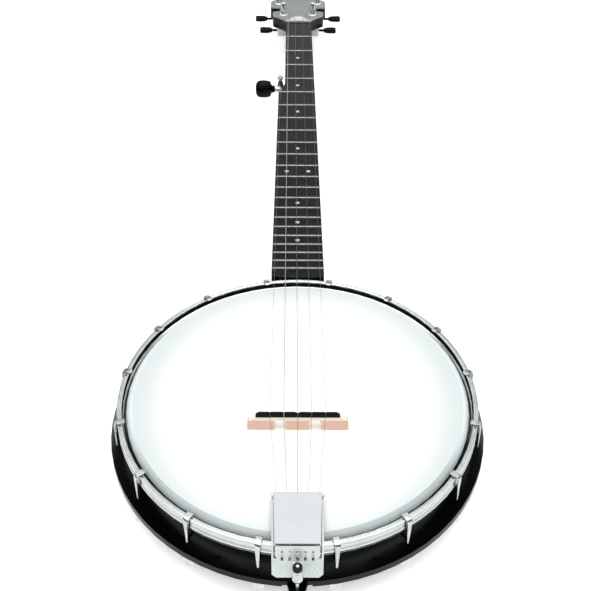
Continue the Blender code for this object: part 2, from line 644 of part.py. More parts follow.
def make_neck(neck, headstock, finish, veneer_finish, neck_to_pot):
    heel = [BOARD_END - HEEL_REACH, BOARD_END]
    heel += [HEEL_FACE + HEEL_LENGTH * share for share in (0, 0.08, 0.16, 0.26, 0.4, 0.56, 0.75, 1)]
    wide = right_edge(BOARD_END) - left_edge(BOARD_END)
    middles = [(HEEL_FACE + HEEL_LENGTH + FIFTH_FRET) / 2, (FIFTH_FRET + SCALE) / 2]
    places = heel + middles + ramp_places() + [SCALE, HEADSTOCK_START + 4]
    wood = add("neck", loft(bmesh.new(), [neck_section(y) for y in sorted(places)]), neck, finish)
    board = slab(bmesh.new(), headstock_outline(), -HEADSTOCK_THICK, -VENEER_THICK - GAP)
    bmesh.ops.transform(board, matrix=headstock_frame(), verts=board.verts)
    combine(wood, "headstock_blank", board, "UNION")
    combine(wood, "pot_clearance", heel_cutter(neck_to_pot))
    ledge = block(bmesh.new(), (-wide, SCALE - 1, NECK_TOP - 0.05), (wide, HEADSTOCK_START + 0.1, wide))
    combine(wood, "nut_seat", ledge)
    channel_end = HEADSTOCK_START + TRUSS_COVER_LENGTH - 4
    half = TRUSS_WIDTH / 2 + GAP
    channel = block(bmesh.new(), (-half, BOARD_END + TRUSS_START, NECK_TOP - TRUSS_DEPTH),
                    (half, channel_end, NECK_TOP + 20))
    combine(wood, "truss_channel", channel)
    sockets = bmesh.new()
    y = FIFTH_FRET + FIFTH_PEG_PAST_FRET
    inner = FIFTH_BARREL_SINK + GAP - NUT_LEFT
    rod(sockets, (inner, y, -FIFTH_PEG_DROP), (-wide, y, -FIFTH_PEG_DROP), FIFTH_BARREL_RADIUS + GAP)
    combine(wood, "fifth_socket", sockets)
    bolts = rod(bmesh.new(), (0, 0, -ROD_DROP), (0, RIM_RADIUS + NECK_BOLT_GRIP + GAP, -ROD_DROP),
                BOLT_RADIUS + GAP)
    bmesh.ops.transform(bolts, matrix=neck_to_pot, verts=bolts.verts)
    combine(wood, "neck_bolt_hole", bolts)
    holes = bmesh.new()
    for x, y in POSTS.values():
        rod(holes, (x, y, -HEADSTOCK_THICK - 5), (x, y, 5), SLEEVE_RADIUS + GAP, 14)
    over = slab(bmesh.new(), headstock_outline(), -VENEER_THICK, 0)
    face = add("headstock_veneer", over, headstock, veneer_finish)
    cover_hole = block(holes.copy(), (-half, -5, -20), (half, TRUSS_COVER_LENGTH - 4, 5))
    combine(face, "veneer_holes", cover_hole)
    bmesh.ops.transform(holes, matrix=headstock_frame(), verts=holes.verts)
    combine(wood, "tuner_holes", holes)


def make_nut_and_pip(neck, bone):
    low = NECK_TOP + GAP
    saddle = block(bmesh.new(), (GAP - NUT_LEFT, SCALE, low), (NUT_RIGHT - GAP, SCALE + NUT_THICK, NUT_RISE))
    nut = add("nut", saddle, neck, bone)
    slots = bmesh.new()
    for x in NUT_STRINGS_X:
        half = NUT_SLOT_WIDTH / 2
        block(slots, (x - half, SCALE - 1, NUT_RISE - NUT_SLOT_DEPTH), (x + half, SCALE + NUT_THICK + 1, 5))
    combine(nut, "nut_slots", slots)
    y = FIFTH_FRET + FRET_WIDTH / 2 + PIP_RADIUS + GAP
    foot = -FRET_HEIGHT + GAP
    pip = add("fifth_string_pip", rod(bmesh.new(), (PIP_X, y, foot), (PIP_X, y, PIP_RISE), PIP_RADIUS, 12),
              neck, bone)
    slot = block(bmesh.new(), (PIP_X - 0.5, y - 3, PIP_RISE - 0.8), (PIP_X + 0.5, y + 3, PIP_RISE + 2))
    combine(pip, "pip_slot", slot)


def make_truss_rod(neck, headstock, steel, cover_finish):
    """A steel bar in the channel under the fingerboard, with its nut under the small cover."""
    start, end = BOARD_END + TRUSS_START + GAP, HEADSTOCK_START + TRUSS_COVER_LENGTH / 2
    middle = NECK_TOP - TRUSS_DEPTH / 2
    bar = rod(bmesh.new(), (0, start, middle), (0, end - 7, middle), TRUSS_WIDTH / 2 - GAP, 12)
    truss = add("truss_rod", bar, neck, steel)
    hexagon = rod(bmesh.new(), (0, end - 8, middle), (0, end, middle), TRUSS_WIDTH / 2, 6)
    combine(truss, "truss_nut", hexagon, "UNION")
    half = TRUSS_COVER_WIDTH / 2
    outline = [(-half, 1), (half, 1), (half, 5)]
    outline += [(half * math.cos(a), 5 + (TRUSS_COVER_LENGTH - 5) * math.sin(a))
                for a in (math.radians(18 * i) for i in range(1, 10))]
    outline.append((-half, 5))
    y = TRUSS_COVER_LENGTH - 2.6
    top = GAP + TRUSS_COVER_THICK
    cover = add("truss_rod_cover", slab(bmesh.new(), outline, GAP, top), headstock, cover_finish)
    screw = rod(bmesh.new(), (0, y, top - 1), (0, y, top + 0.7), 1.5, 10, 1.0)
    combine(cover, "cover_screw", screw, "UNION")


def bridge_depth(height):
    """Front to back: the bridge gets thinner towards the strings."""
    return BRIDGE_FOOT_THICK + (BRIDGE_TOP_THICK - BRIDGE_FOOT_THICK) * height / BRIDGE_HEIGHT


def arch_line(low, high, rise):
    """A square arch with round corners between two feet, as (x, z) points."""
    centre, reach = (low + high) / 2, (high - low) / 2
    points = [(low, 0)]
    for step in range(1, 9):
        turn = math.radians(180 - 20 * step)
        across = math.copysign(abs(math.cos(turn)) ** BRIDGE_ARCH_POWER, math.cos(turn))
        points.append((centre + reach * across, rise * math.sin(turn) ** BRIDGE_ARCH_POWER))
    return points + [(high, 0)]


def string_notch(number):
    """Width and depth of the notch in the bridge's top under a string, counted from the middle."""
    if number == 0:
        return BRIDGE_NOTCH_WIDTH, BRIDGE_NOTCH_DEPTH
    return BRIDGE_SLOT_WIDTH, BRIDGE_SLOT_DEPTH


def tapered(outline, lift):
    """An (x, z) outline as thick as the bridge is at each height."""
    bm = loft(bmesh.new(), [[(x, y, z) for x, z in outline] for y in (-0.5, 0.5)])
    for vert in bm.verts:
        vert.co.y *= bridge_depth(vert.co.z)
        vert.co.z += lift
    return bm


def make_bridge(bridge, maple, ebony):
    """A three-footed maple base with an ebony top."""
    foot, top, glue = BRIDGE_FEET_SPAN / 2, BRIDGE_TOP_SPAN / 2, BRIDGE_HEIGHT - BRIDGE_CAP_HEIGHT
    half = arch_line(BRIDGE_MIDDLE_FOOT / 2, foot - BRIDGE_OUTER_FOOT, BRIDGE_ARCH_RISE)
    half += [(foot, 0), (foot - 0.3, BRIDGE_SHOULDER_RISE), (top + BRIDGE_SHOULDER_OUT, glue - 0.5),
             (top, glue)]
    outline = half + [(-x, z) for x, z in reversed(half)]
    add("bridge_base", tapered(outline, GAP), bridge, maple)
    low, high = glue + 2 * GAP, BRIDGE_HEIGHT
    across, down = BRIDGE_CAP_CHAMFER
    outline = [(-top, low), (-top, high - down), (across - top, high)]
    for number in range(-2, 3):
        x = number * BRIDGE_SPACING
        wide, deep = string_notch(number)
        outline += [(x - wide / 2, high), (x, high - deep), (x + wide / 2, high)]
    outline += [(top - across, high), (top, high - down), (top, low)]
    add("bridge_cap", tapered(outline, 0), bridge, ebony)


def plate_line(height):
    """Outer face of the tailpiece's rear plate: y at a height over the head."""
    return TAIL_PLATE_Y + (height - TAIL_PLATE_Z) * math.tan(TAIL_PLATE_LEAN)


def cheek_line():
    """Outline (y, z) of the tailpiece's cheeks, which step over the hoop and stop inside the plate."""
    inside = 0.05
    front, rear = TAIL_FRONT_Y - 3, plate_line(TAIL_PLATE_Z)
    high = TAIL_FRONT_Z + TAIL_PIN_RADIUS + GAP - TAIL_SHEET - 0.5
    fall = math.tan(TAIL_LID_FALL) * (front - rear)
    low = TAIL_PLATE_Z - TAIL_PLATE_LENGTH + TAIL_PLATE_CHAMFER[1]
    return [(front, TAIL_FLOOR_RISE), (front, high), (rear + TAIL_SHEET, high - fall),
            (rear + inside, high - 0.5 - fall), (plate_line(low) + inside, low),
            (plate_line(low) + 2.2, low), (-HOOP_OUTER - 2.2, -HOOP_DROP),
            (-HOOP_OUTER - 1.4, HOOP_RISE + 0.8), (-HOOP_INNER + 4, TAIL_FLOOR_RISE)]


def tab_line():
    """Outline (y, z) of a hook tab pressed out of the rear plate, for a string's loop."""
    high, low = TAIL_TAB_TOP, TAIL_TAB_TOP - TAIL_TAB_HEIGHT
    return [(plate_line(low) + 0.6, low), (plate_line(low) - 1.2, low + 0.1), (plate_line(low) - 2.2, high),
            (plate_line(high) - 1.2, high - 0.4), (plate_line(high) + 0.6, high - 1.4)]


def bolt_ear_outline():
    """The ear bent out of the rear plate round the bolt, from above."""
    root = plate_line(-TAIL_EAR_DROP) + 0.6
    end = arc((0, -TAIL_BOLT_OUT), TAIL_EAR_RADIUS, 180, 360, 8)
    return [(TAIL_EAR_RADIUS, root), (-TAIL_EAR_RADIUS, root)] + end


def tail_cuts():
    """Relief slots with round feet, chamfered corners, pin holes, string holes and the tabs' windows."""
    cuts = bmesh.new()
    half, rear = TAIL_WIDTH / 2, plate_line(TAIL_PLATE_Z)
    ear = TAIL_LID_FRONT_WIDTH / 2 + GAP
    foot = TAIL_PLATE_Z - TAIL_PLATE_LENGTH
    across, up = TAIL_PLATE_CHAMFER
    for side in (-1, 1):
        outer = half - TAIL_CHEEK + 0.1
        low, high = sorted((side * (outer - TAIL_RELIEF), side * outer))
        bottom = TAIL_RELIEF_FOOT
        block(cuts, (low, rear - 6, bottom), (high, rear + TAIL_SHEET + 0.8, TAIL_PLATE_Z + 3))
        corner = [(half + 1, foot + up), (half + 1, foot - 1), (half - across - 0.8, foot - 1),
                  (half - across, foot)]
        loft(cuts, [[(side * x, y, z) for x, z in corner] for y in (rear - 12, rear + 8)])
        rod(cuts, (side * (ear - 1), TAIL_FRONT_Y, TAIL_FRONT_Z),
            (side * (ear + 3), TAIL_FRONT_Y, TAIL_FRONT_Z), TAIL_PIN_RADIUS + GAP, 12)
    for number in range(-2, 3):
        x, y = number * TAIL_HOLE_SPACING, plate_line(TAIL_TAB_TOP)
        hole = TAIL_TAB_TOP + TAIL_HOLE_RISE
        rod(cuts, (x, y - 3, hole), (x, y + 3.4, hole), TAIL_HOLE_RADIUS, 8)
        top = TAIL_TAB_TOP - TAIL_TAB_HEIGHT - 0.6
        block(cuts, (x - TAIL_WINDOW_WIDTH / 2, y - 4, top - TAIL_WINDOW_HEIGHT),
              (x + TAIL_WINDOW_WIDTH / 2, y + 3.4, top))
    return cuts


def make_tailpiece_body(pot, finish):
    """A stamped channel: floor over the head, two cheeks over the hoop, a plate down to the bolt's ear."""
    half, front = TAIL_WIDTH / 2, TAIL_FRONT_Y
    floor, sheet = TAIL_FLOOR_RISE, TAIL_SHEET
    ear_in = TAIL_LID_FRONT_WIDTH / 2 + GAP
    base = block(bmesh.new(), (-half, TAIL_FLOOR_END, floor), (half, front + 3, floor + sheet))
    body = add("tailpiece_body", base, pot, finish)
    ear_out = ear_in + sheet
    bar = block(bmesh.new(), (-ear_out, front - 3.5, floor), (ear_out, front + 3, floor + sheet))
    combine(body, "ear_strip", bar, "UNION")
    foot, rear = TAIL_PLATE_Z - TAIL_PLATE_LENGTH, plate_line(TAIL_PLATE_Z)
    for side in (-1, 1):
        ends = sorted((side * half, side * (half - TAIL_CHEEK)))
        cheek = side_slab(bmesh.new(), cheek_line(), *ends)
        for vert in cheek.verts:
            vert.co.x += side * TAIL_FLARE * share_between(rear, front, vert.co.y)
        combine(body, f"cheek_{side + 1}", cheek, "UNION")
        ends = sorted((side * ear_in, side * ear_out))
        ear = [(front - TAIL_HINGE_EAR_RADIUS, floor), (front + TAIL_HINGE_EAR_RADIUS, floor)]
        ear += arc((front, TAIL_FRONT_Z), TAIL_HINGE_EAR_RADIUS, 0, 180, 6)
        combine(body, f"ear_{side + 1}", side_slab(bmesh.new(), ear, *ends), "UNION")
    plate = [(rear, TAIL_PLATE_Z), (plate_line(foot), foot), (plate_line(foot) + sheet, foot),
             (rear + sheet, TAIL_PLATE_Z)]
    combine(body, "rear_plate", side_slab(bmesh.new(), plate, 0.05 - half, half - 0.05), "UNION")
    ear = slab(bmesh.new(), bolt_ear_outline(), -TAIL_EAR_DROP - sheet, -TAIL_EAR_DROP)
    combine(body, "bolt_ear", ear, "UNION")
    for number in range(-2, 3):
        x = number * TAIL_HOLE_SPACING
        tab = side_slab(bmesh.new(), tab_line(), x - TAIL_TAB_WIDTH / 2, x + TAIL_TAB_WIDTH / 2)
        combine(body, f"hook_tab_{number + 3}", tab, "UNION")
    combine(body, "tail_cuts", tail_cuts())
    slot_ends = bmesh.new()
    for side in (-1, 1):
        x, z = side * (half - TAIL_CHEEK - TAIL_RELIEF_END_RADIUS - 0.1), TAIL_RELIEF_FOOT
        rod(slot_ends, (x, rear - 6, z), (x, rear + 2, z), TAIL_RELIEF_END_RADIUS, 10)
    combine(body, "slot_ends", slot_ends)
    middle, reach = Vector((0, -TAIL_BOLT_OUT, -TAIL_EAR_DROP)), Vector((0, 0, 4))
    bore = rod(bmesh.new(), middle - reach, middle + reach, TAIL_BOLT_RADIUS + GAP, 12)
    combine(body, "ear_bore", bore)


def make_tailpiece_lid(lid, finish):
    """A tapered plate rolled round the pin at its front edge, drawn from the pin's axis."""
    roll = TAIL_PIN_RADIUS + GAP + TAIL_SHEET
    front, rear = TAIL_LID_FRONT_WIDTH / 2, TAIL_LID_REAR_WIDTH / 2
    fall = TAIL_LID_LENGTH * math.tan(TAIL_LID_FALL)
    sections = []
    for half, y, drop in ((front, 0, 0), (rear, -TAIL_LID_LENGTH, fall)):
        sections.append([(-half, y, roll - drop), (half, y, roll - drop),
                         (half, y, roll - drop - TAIL_SHEET), (-half, y, roll - drop - TAIL_SHEET)])
    plate = add("tailpiece_lid", loft(bmesh.new(), sections), lid, finish)
    barrel = rod(bmesh.new(), (-front, 0, 0), (front, 0, 0), roll, 16)
    combine(plate, "lid_barrel", barrel, "UNION")
    bore = rod(bmesh.new(), (-front - 2, 0, 0), (front + 2, 0, 0), TAIL_PIN_RADIUS + GAP, 16)
    combine(plate, "lid_bore", bore)


def make_tail_hardware(pot, nut_frame, steel, dark):
    """Hinge pin, the bolt with its bell collar and foot nut, and the knurled nut's blank."""
    end = TAIL_LID_FRONT_WIDTH / 2 + GAP + TAIL_SHEET + 0.6
    y, z = TAIL_FRONT_Y, TAIL_FRONT_Z
    add("tailpiece_hinge_pin", rod(bmesh.new(), (-end, y, z), (end, y, z), TAIL_PIN_RADIUS, 12), pot, steel)
    seat = -TAIL_EAR_DROP - TAIL_SHEET - GAP
    foot = -LUG_FOOT_DROP - GAP
    thin, wide, top = TAIL_BOLT_RADIUS, TAIL_BELL_RADIUS, TAIL_NUT_TOP + 0.4
    bell = [(wide * radius, seat - TAIL_BELL_LENGTH * share)
            for share, radius in ((0, 0.6), (0.13, 0.78), (0.37, 0.94), (0.55, 1), (0.7, 0.94), (0.85, 0.73),
                                  (0.95, 0.46))]
    profile = [(0, top), (thin - 0.4, top), (thin, top - 0.4), (thin, seat)] + bell
    profile += [(thin, seat - TAIL_BELL_LENGTH), (thin, foot), (TAIL_FOOT_NUT_RADIUS, foot),
                (TAIL_FOOT_NUT_RADIUS, foot - TAIL_FOOT_NUT_HEIGHT), (0, foot - TAIL_FOOT_NUT_HEIGHT)]
    add("tailpiece_bolt", turned(profile, 12), pot, steel, location=(0, -TAIL_BOLT_OUT, 0))
    bore, high = thin + GAP, TAIL_NUT_TOP + TAIL_EAR_DROP
    section = [(bore, GAP), (TAIL_NUT_RADIUS, GAP), (TAIL_NUT_RADIUS, high - 0.8),
               (TAIL_NUT_RADIUS - 0.8, high), (bore + 0.4, high), (bore, high - 0.4)]
    add("tailpiece_thumb_nut", ring(section, 20), nut_frame, dark)


def make_rod_and_bolts(pot, steel):
    """The coordinator rod across the pot, the end bolt, and the neck's bolt with its nut and washer."""
    reach = RIM_RADIUS - RIM_WALL - ROD_WASHER - 2 * GAP
    tail = RIM_RADIUS + GAP
    seat = reach - ROD_NUT_LENGTH

    def bar(start, end, radius, sides=12):
        return rod(bmesh.new(), (0, start, -ROD_DROP), (0, end, -ROD_DROP), radius, sides)

    brace = add("coordinator_rod", bar(-reach, seat - GAP, ROD_RADIUS, 16), pot, steel)
    sockets = bar(-reach - 1, -reach + ROD_THREAD + 2, BOLT_RADIUS + GAP)
    rod(sockets, (0, seat - ROD_THREAD - 2, -ROD_DROP), (0, reach, -ROD_DROP), BOLT_RADIUS + GAP, 12)
    combine(brace, "rod_sockets", sockets)
    radius, height = END_BOLT_HEAD
    head = add("end_bolt", bar(-tail - height, -tail, radius, 6), pot, steel)
    combine(head, "end_bolt_shank", bar(-tail - 1, ROD_THREAD - reach, BOLT_RADIUS), "UNION")
    start, end = seat - ROD_THREAD, RIM_RADIUS + NECK_BOLT_GRIP - GAP
    add("neck_hanger_bolt", bar(start, end, BOLT_RADIUS), pot, steel)
    nut = add("neck_bolt_nut", bar(seat, reach, ROD_NUT_RADIUS, 6), pot, steel)
    combine(nut, "neck_bolt_washer", bar(reach - 0.1, reach + ROD_WASHER, ROD_WASHER_RADIUS, 20), "UNION")
    combine(nut, "neck_nut_bore", bar(start, reach + 5, BOLT_RADIUS + GAP))


def button(length, width, thick, neck_radius):
    """A tuner button along -X: a collar at its neck, then a rounded paddle that swells towards its end."""
    # share of the length, half width, half thickness
    stations = [(0, neck_radius, neck_radius), (0.09, neck_radius * 1.25, neck_radius * 1.25),
                (0.2, neck_radius, neck_radius), (0.24, width * 0.36, thick * 0.4),
                (0.36, width * 0.42, thick * 0.46), (0.62, width * 0.5, thick * 0.5),
                (0.84, width * 0.47, thick * 0.46), (0.96, width * 0.36, thick * 0.34),
                (1, width * 0.2, thick * 0.18)]
    sections = []
    for share, wide, high in stations:
        power = 1 if share < 0.22 else 0.75
        section = []
        for step in range(12):
            turn = 2 * math.pi * step / 12
            y = math.copysign(abs(math.cos(turn)) ** power, math.cos(turn)) * wide
            z = math.copysign(abs(math.sin(turn)) ** power, math.sin(turn)) * high
            section.append((-length * share, y, z))
        sections.append(section)
    return loft(bmesh.new(), sections)


def string_post(rise, waist, foot, radius):
    """A capstan with a waist for the string, turned about Z from the face it stands over."""
    return turned([(0, rise), (radius * 0.8, rise), (radius, rise - 0.7), (radius, waist + 2.4),
                   (POST_WAIST_RADIUS, waist + 1), (POST_WAIST_RADIUS, waist - 1), (radius, waist - 2.4),
                   (radius, foot), (0, foot)], 14)


def make_tuner(name, place, headstock, chrome, black):
    """A sealed right-angle tuner: housing behind the headstock, sleeve and washer through it."""
    x, y = place
    side = math.copysign(1, x)
    back = -HEADSTOCK_THICK - GAP
    low = back - HOUSING_DEPTH
    centre = (back + low) / 2
    outline = []
    for corner, start in (((1, 1), 0), ((-1, 1), 90), ((-1, -1), 180), ((1, -1), 270)):
        middle = (corner[0] * (HOUSING_WIDTH / 2 - HOUSING_CORNER),
                  corner[1] * (HOUSING_LENGTH / 2 - HOUSING_CORNER))
        outline += arc(middle, HOUSING_CORNER, start, start + 90, 3)
    casing = slab(bmesh.new(), outline, low, back)
    housing = add(f"tuner_housing_{name}", casing, headstock, chrome, (x, y, 0))
    sleeve = rod(bmesh.new(), (0, 0, back - 1), (0, 0, 0.6), SLEEVE_RADIUS, 14)
    combine(housing, f"sleeve_{name}", sleeve, "UNION")
    washer = rod(bmesh.new(), (0, 0, GAP), (0, 0, WASHER_RISE), WASHER_RADIUS, 14, WASHER_RADIUS - 0.8)
    combine(housing, f"washer_{name}", washer, "UNION")
    bores = rod(bmesh.new(), (0, 0, low + 1.5), (0, 0, WASHER_RISE + 1), POST_RADIUS + GAP, 14)
    outside = HOUSING_WIDTH / 2 + 1
    rod(bores, (side * 4.5, 0, centre), (side * outside, 0, centre), TUNER_SHAFT_RADIUS + GAP, 10)
    combine(housing, f"bores_{name}", bores)
    post_frame = frame(f"post_axis_{name}", headstock, (x, y, 0))
    capstan = string_post(POST_RISE, POST_WAIST_RISE, low + 2, POST_RADIUS)
    add(f"tuner_post_{name}", capstan, post_frame, chrome)
    button_frame = frame(f"button_axis_{name}", headstock, (x, y, centre))
    end = side * (TUNER_SHAFT_REACH + 1)
    shaft = rod(bmesh.new(), (side * 5, 0, 0), (end, 0, 0), TUNER_SHAFT_RADIUS, 10)
    knob = add(f"tuner_button_{name}", shaft, button_frame, black)
    paddle = button(BUTTON_LENGTH, BUTTON_WIDTH, BUTTON_THICK, BUTTON_NECK_RADIUS)
    turn = Matrix.Rotation(math.pi if side > 0 else 0, 4, "Z")
    place = Matrix.Translation((side * TUNER_SHAFT_REACH, 0, 0)) @ turn
    bmesh.ops.transform(paddle, matrix=place, verts=paddle.verts)
    combine(knob, f"paddle_{name}", paddle, "UNION")


def make_fifth_tuner(neck, chrome, black):
    y, height = FIFTH_FRET + FIFTH_PEG_PAST_FRET, -FIFTH_PEG_DROP
    radius = FIFTH_BARREL_RADIUS
    inner, outer = -NUT_LEFT + FIFTH_BARREL_SINK, FIFTH_BARREL_END_X
    barrel = add("fifth_tuner_housing", rod(bmesh.new(), (inner, y, height), (outer, y, height), radius, 20),
                 neck, chrome)
    x, top = FIFTH_POST_X, radius + FIFTH_STAND_RISE
    stand = rod(bmesh.new(), (x, y, height), (x, y, height + top), FIFTH_STAND_RADIUS, 16)
    combine(barrel, "fifth_post_stand", stand, "UNION")
    bores = rod(bmesh.new(), (x, y, height - 2), (x, y, height + top + 1.8), FIFTH_STEM_RADIUS + GAP, 14)
    rod(bores, (outer - 1, y, height), (x - 3, y, height), TUNER_SHAFT_RADIUS + GAP, 12)
    combine(barrel, "fifth_bores", bores)
    post_frame = frame("post_axis_fifth", neck, (x, y, height))
    seat, foot = top + GAP, 0.5 - FIFTH_STEM_RADIUS
    rise = FIFTH_POST_TOP + FIFTH_PEG_DROP
    wide, waist, stem = FIFTH_SPOOL_RADIUS, FIFTH_WAIST_RADIUS, FIFTH_STEM_RADIUS
    spool = [(0, rise), (wide - 0.4, rise), (wide, rise - 0.8), (wide, rise - 2),
             (waist, rise - FIFTH_WAIST_DROP), (waist, rise - FIFTH_WAIST_DROP - 1.2),
             (wide - 0.3, seat + 0.5), (wide - 0.3, seat), (stem, seat), (stem, foot), (0, foot)]
    add("fifth_tuner_post", turned(spool, 16), post_frame, chrome)
    button_frame = frame("button_axis_fifth", neck, (outer - GAP, y, height))
    paddle = button(FIFTH_BUTTON_LENGTH, FIFTH_BUTTON_WIDTH, FIFTH_BUTTON_HEIGHT,
                    FIFTH_BUTTON_NECK_RADIUS)
    knob = add("fifth_tuner_button", paddle, button_frame, black)
    reach = outer - GAP - x
    shaft = rod(bmesh.new(), (-1, 0, 0), (-reach - FIFTH_STAND_RADIUS, 0, 0), TUNER_SHAFT_RADIUS, 12)
    combine(knob, "fifth_shaft", shaft, "UNION")


def string_curve(name, points, radius, parent, finish):
    curve = bpy.data.curves.new(name, "CURVE")
    curve.dimensions = "3D"
    curve.bevel_depth = radius * MM
    curve.bevel_resolution = 1
    curve.use_fill_caps = True
    spline = curve.splines.new("POLY")
    spline.points.add(len(points) - 1)
    for knot, point in zip(spline.points, points):
        knot.co = (*metres(*point), 1)
    curve.materials.append(finish)
    item = bpy.data.objects.new(name, curve)
    bpy.context.scene.collection.objects.link(item)
    item.parent = parent


def wrap(centre, radius, start, turns, height, rise):
    """Points round a post: the string's turns on it, climbing, from a starting angle."""
    steps = int(10 * abs(turns))
    points = []
    for i in range(steps + 1):
        angle = start + 2 * math.pi * turns * i / steps
        points.append(Vector((centre[0] + radius * math.cos(angle), centre[1] + radius * math.sin(angle),
                              height + rise * i / steps)))
    return points


def tangent_angle(centre, radius, place, side):
    """Angle on a post where a string from a place leaves it on one side."""
    gap = Vector(centre[:2]) - Vector(place[:2])
    lean = math.asin(radius / gap.length)
    return math.atan2(gap.y, gap.x) + side * (math.pi / 2 + lean)


def make_strings(pot, pot_from_neck, steel):
    order = ("treble_low", "treble_high", "bass_high", "bass_low")
    face = pot_from_neck @ headstock_frame()
    for number in range(5):
        radius = STRING_RADII[number]
        across = 2 - number
        saddle = BRIDGE_HEIGHT - string_notch(across)[1] + BRIDGE_STRING_RISE + radius
        tail_x, hole_x = across * TAIL_STRING_SPACING, across * TAIL_HOLE_SPACING
        hole = TAIL_TAB_TOP + TAIL_HOLE_RISE
        out = plate_line(hole)
        floor = TAIL_FLOOR_RISE + TAIL_SHEET + GAP + radius
        points = [Vector(point) for point in (
            (hole_x, plate_line(hole - 6.2) - 0.2, hole - 6.2), (hole_x, out - 3.2 - radius, hole - 4),
            (hole_x, out - 3.0 - radius, hole - 1.0), (hole_x, out - 0.8, hole), (hole_x, out + 2.0, hole),
            (hole_x, out + 3.6, 3.6),
            (hole_x, -HOOP_INNER, floor), (tail_x, TAIL_FRONT_Y - 5, floor),
            (tail_x, TAIL_FRONT_Y + 4, floor + 0.2),
            (across * BRIDGE_SPACING, BRIDGE_Y, saddle))]
        if number == 4:
            pip_y = FIFTH_FRET + FRET_WIDTH / 2 + PIP_RADIUS + GAP
            slot = Vector((PIP_X, pip_y, PIP_RISE - 0.8 + GAP + radius))
            waist = FIFTH_POST_TOP - FIFTH_WAIST_DROP - 0.7
            centre = Vector((FIFTH_POST_X, FIFTH_FRET + FIFTH_PEG_PAST_FRET, waist))
            size = FIFTH_WAIST_RADIUS + GAP + radius
            start = tangent_angle(centre, size, slot, 1)
            route = [slot] + wrap(centre, size, start, 1.0, centre.z, 2 * radius + GAP)
            points += [pot_from_neck @ point for point in route]
        else:
            x = NUT_STRINGS_X[number]
            height = NUT_RISE - NUT_SLOT_DEPTH + GAP + radius
            points += [pot_from_neck @ Vector((x, y, height)) for y in (SCALE, SCALE + NUT_THICK)]
            centre = POSTS[order[number]]
            size = POST_WAIST_RADIUS + GAP + radius
            place = headstock_frame().inverted() @ Vector((x, SCALE + NUT_THICK, height))
            side = 1 if centre[0] > 0 else -1
            start = tangent_angle(centre, size, place, side)
            lift = 2 * radius + GAP
            route = wrap(centre, size, start, side * 1.0, POST_WAIST_RISE - lift / 2, lift)
            points += [face @ point for point in route]
        string_curve(f"string_{number + 1}", points, radius, pot, steel)


def build():
    for item in list(bpy.data.objects):
        bpy.data.objects.remove(item, do_unlink=True)
    chrome = material("chrome", (0.8, 0.81, 0.82), 0.12, 1.0)
    black = material("black_cast", (0.02, 0.02, 0.022), 0.35)
    satin = material("headstock_grey", (0.32, 0.33, 0.34), 0.35)
    neck_wood = material("black_neck", (0.025, 0.024, 0.024), 0.4)
    board = material("fingerboard_black", (0.04, 0.042, 0.045), 0.5)
    skin = material("coated_head", (0.9, 0.91, 0.91), 0.6)
    bone = material("nut_white", (0.8, 0.78, 0.72), 0.4)
    maple = material("bridge_maple", (0.78, 0.5, 0.3), 0.5)
    steel = material("steel", (0.6, 0.6, 0.6), 0.3, 1.0)

    tail_end = TAIL_BOLT_OUT + LUG_MARGIN
    top_end = HEADSTOCK_START - BRIDGE_BACK + HEADSTOCK_LENGTH * math.cos(HEADSTOCK_TILT + NECK_TILT)
    pot = frame("pot_axis", None, (0, (tail_end - top_end) / 2, HEAD_HEIGHT))
    neck = frame("neck_line", pot, (0, BRIDGE_Y, FRET_PLANE_RISE), -NECK_TILT)
    headstock = frame("headstock_face", neck, (0, HEADSTOCK_START, -HEADSTOCK_SET), -HEADSTOCK_TILT)
    bridge = frame("bridge_foot", pot, (0, BRIDGE_Y, 0))
    lid = frame("lid_hinge", pot, (0, TAIL_FRONT_Y, TAIL_FRONT_Z))
    thumb = frame("thumb_nut_axis", pot, (0, -TAIL_BOLT_OUT, -TAIL_EAR_DROP))
    pot_from_neck = Matrix.Translation((0, BRIDGE_Y, FRET_PLANE_RISE)) @ Matrix.Rotation(-NECK_TILT, 4, "X")

    make_rim(pot, black)
    make_head(pot, skin, steel)
    add("tension_hoop", ring(hoop_section()), pot, chrome)
    make_hooks(pot, chrome)
    make_neck(neck, headstock, neck_wood, satin, pot_from_neck.inverted())
    make_fingerboard(neck, board)
    make_nut_and_pip(neck, bone)
    make_truss_rod(neck, headstock, steel, bone)
    make_bridge(bridge, maple, black)
    make_tailpiece_body(pot, chrome)
    make_tailpiece_lid(lid, chrome)
    make_tail_hardware(pot, thumb, chrome, steel)
    make_rod_and_bolts(pot, steel)
    for name, place in POSTS.items():
        make_tuner(name, place, headstock, chrome, black)
    make_fifth_tuner(neck, chrome, black)
    make_strings(pot, pot_from_neck, steel)


build()
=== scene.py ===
import math

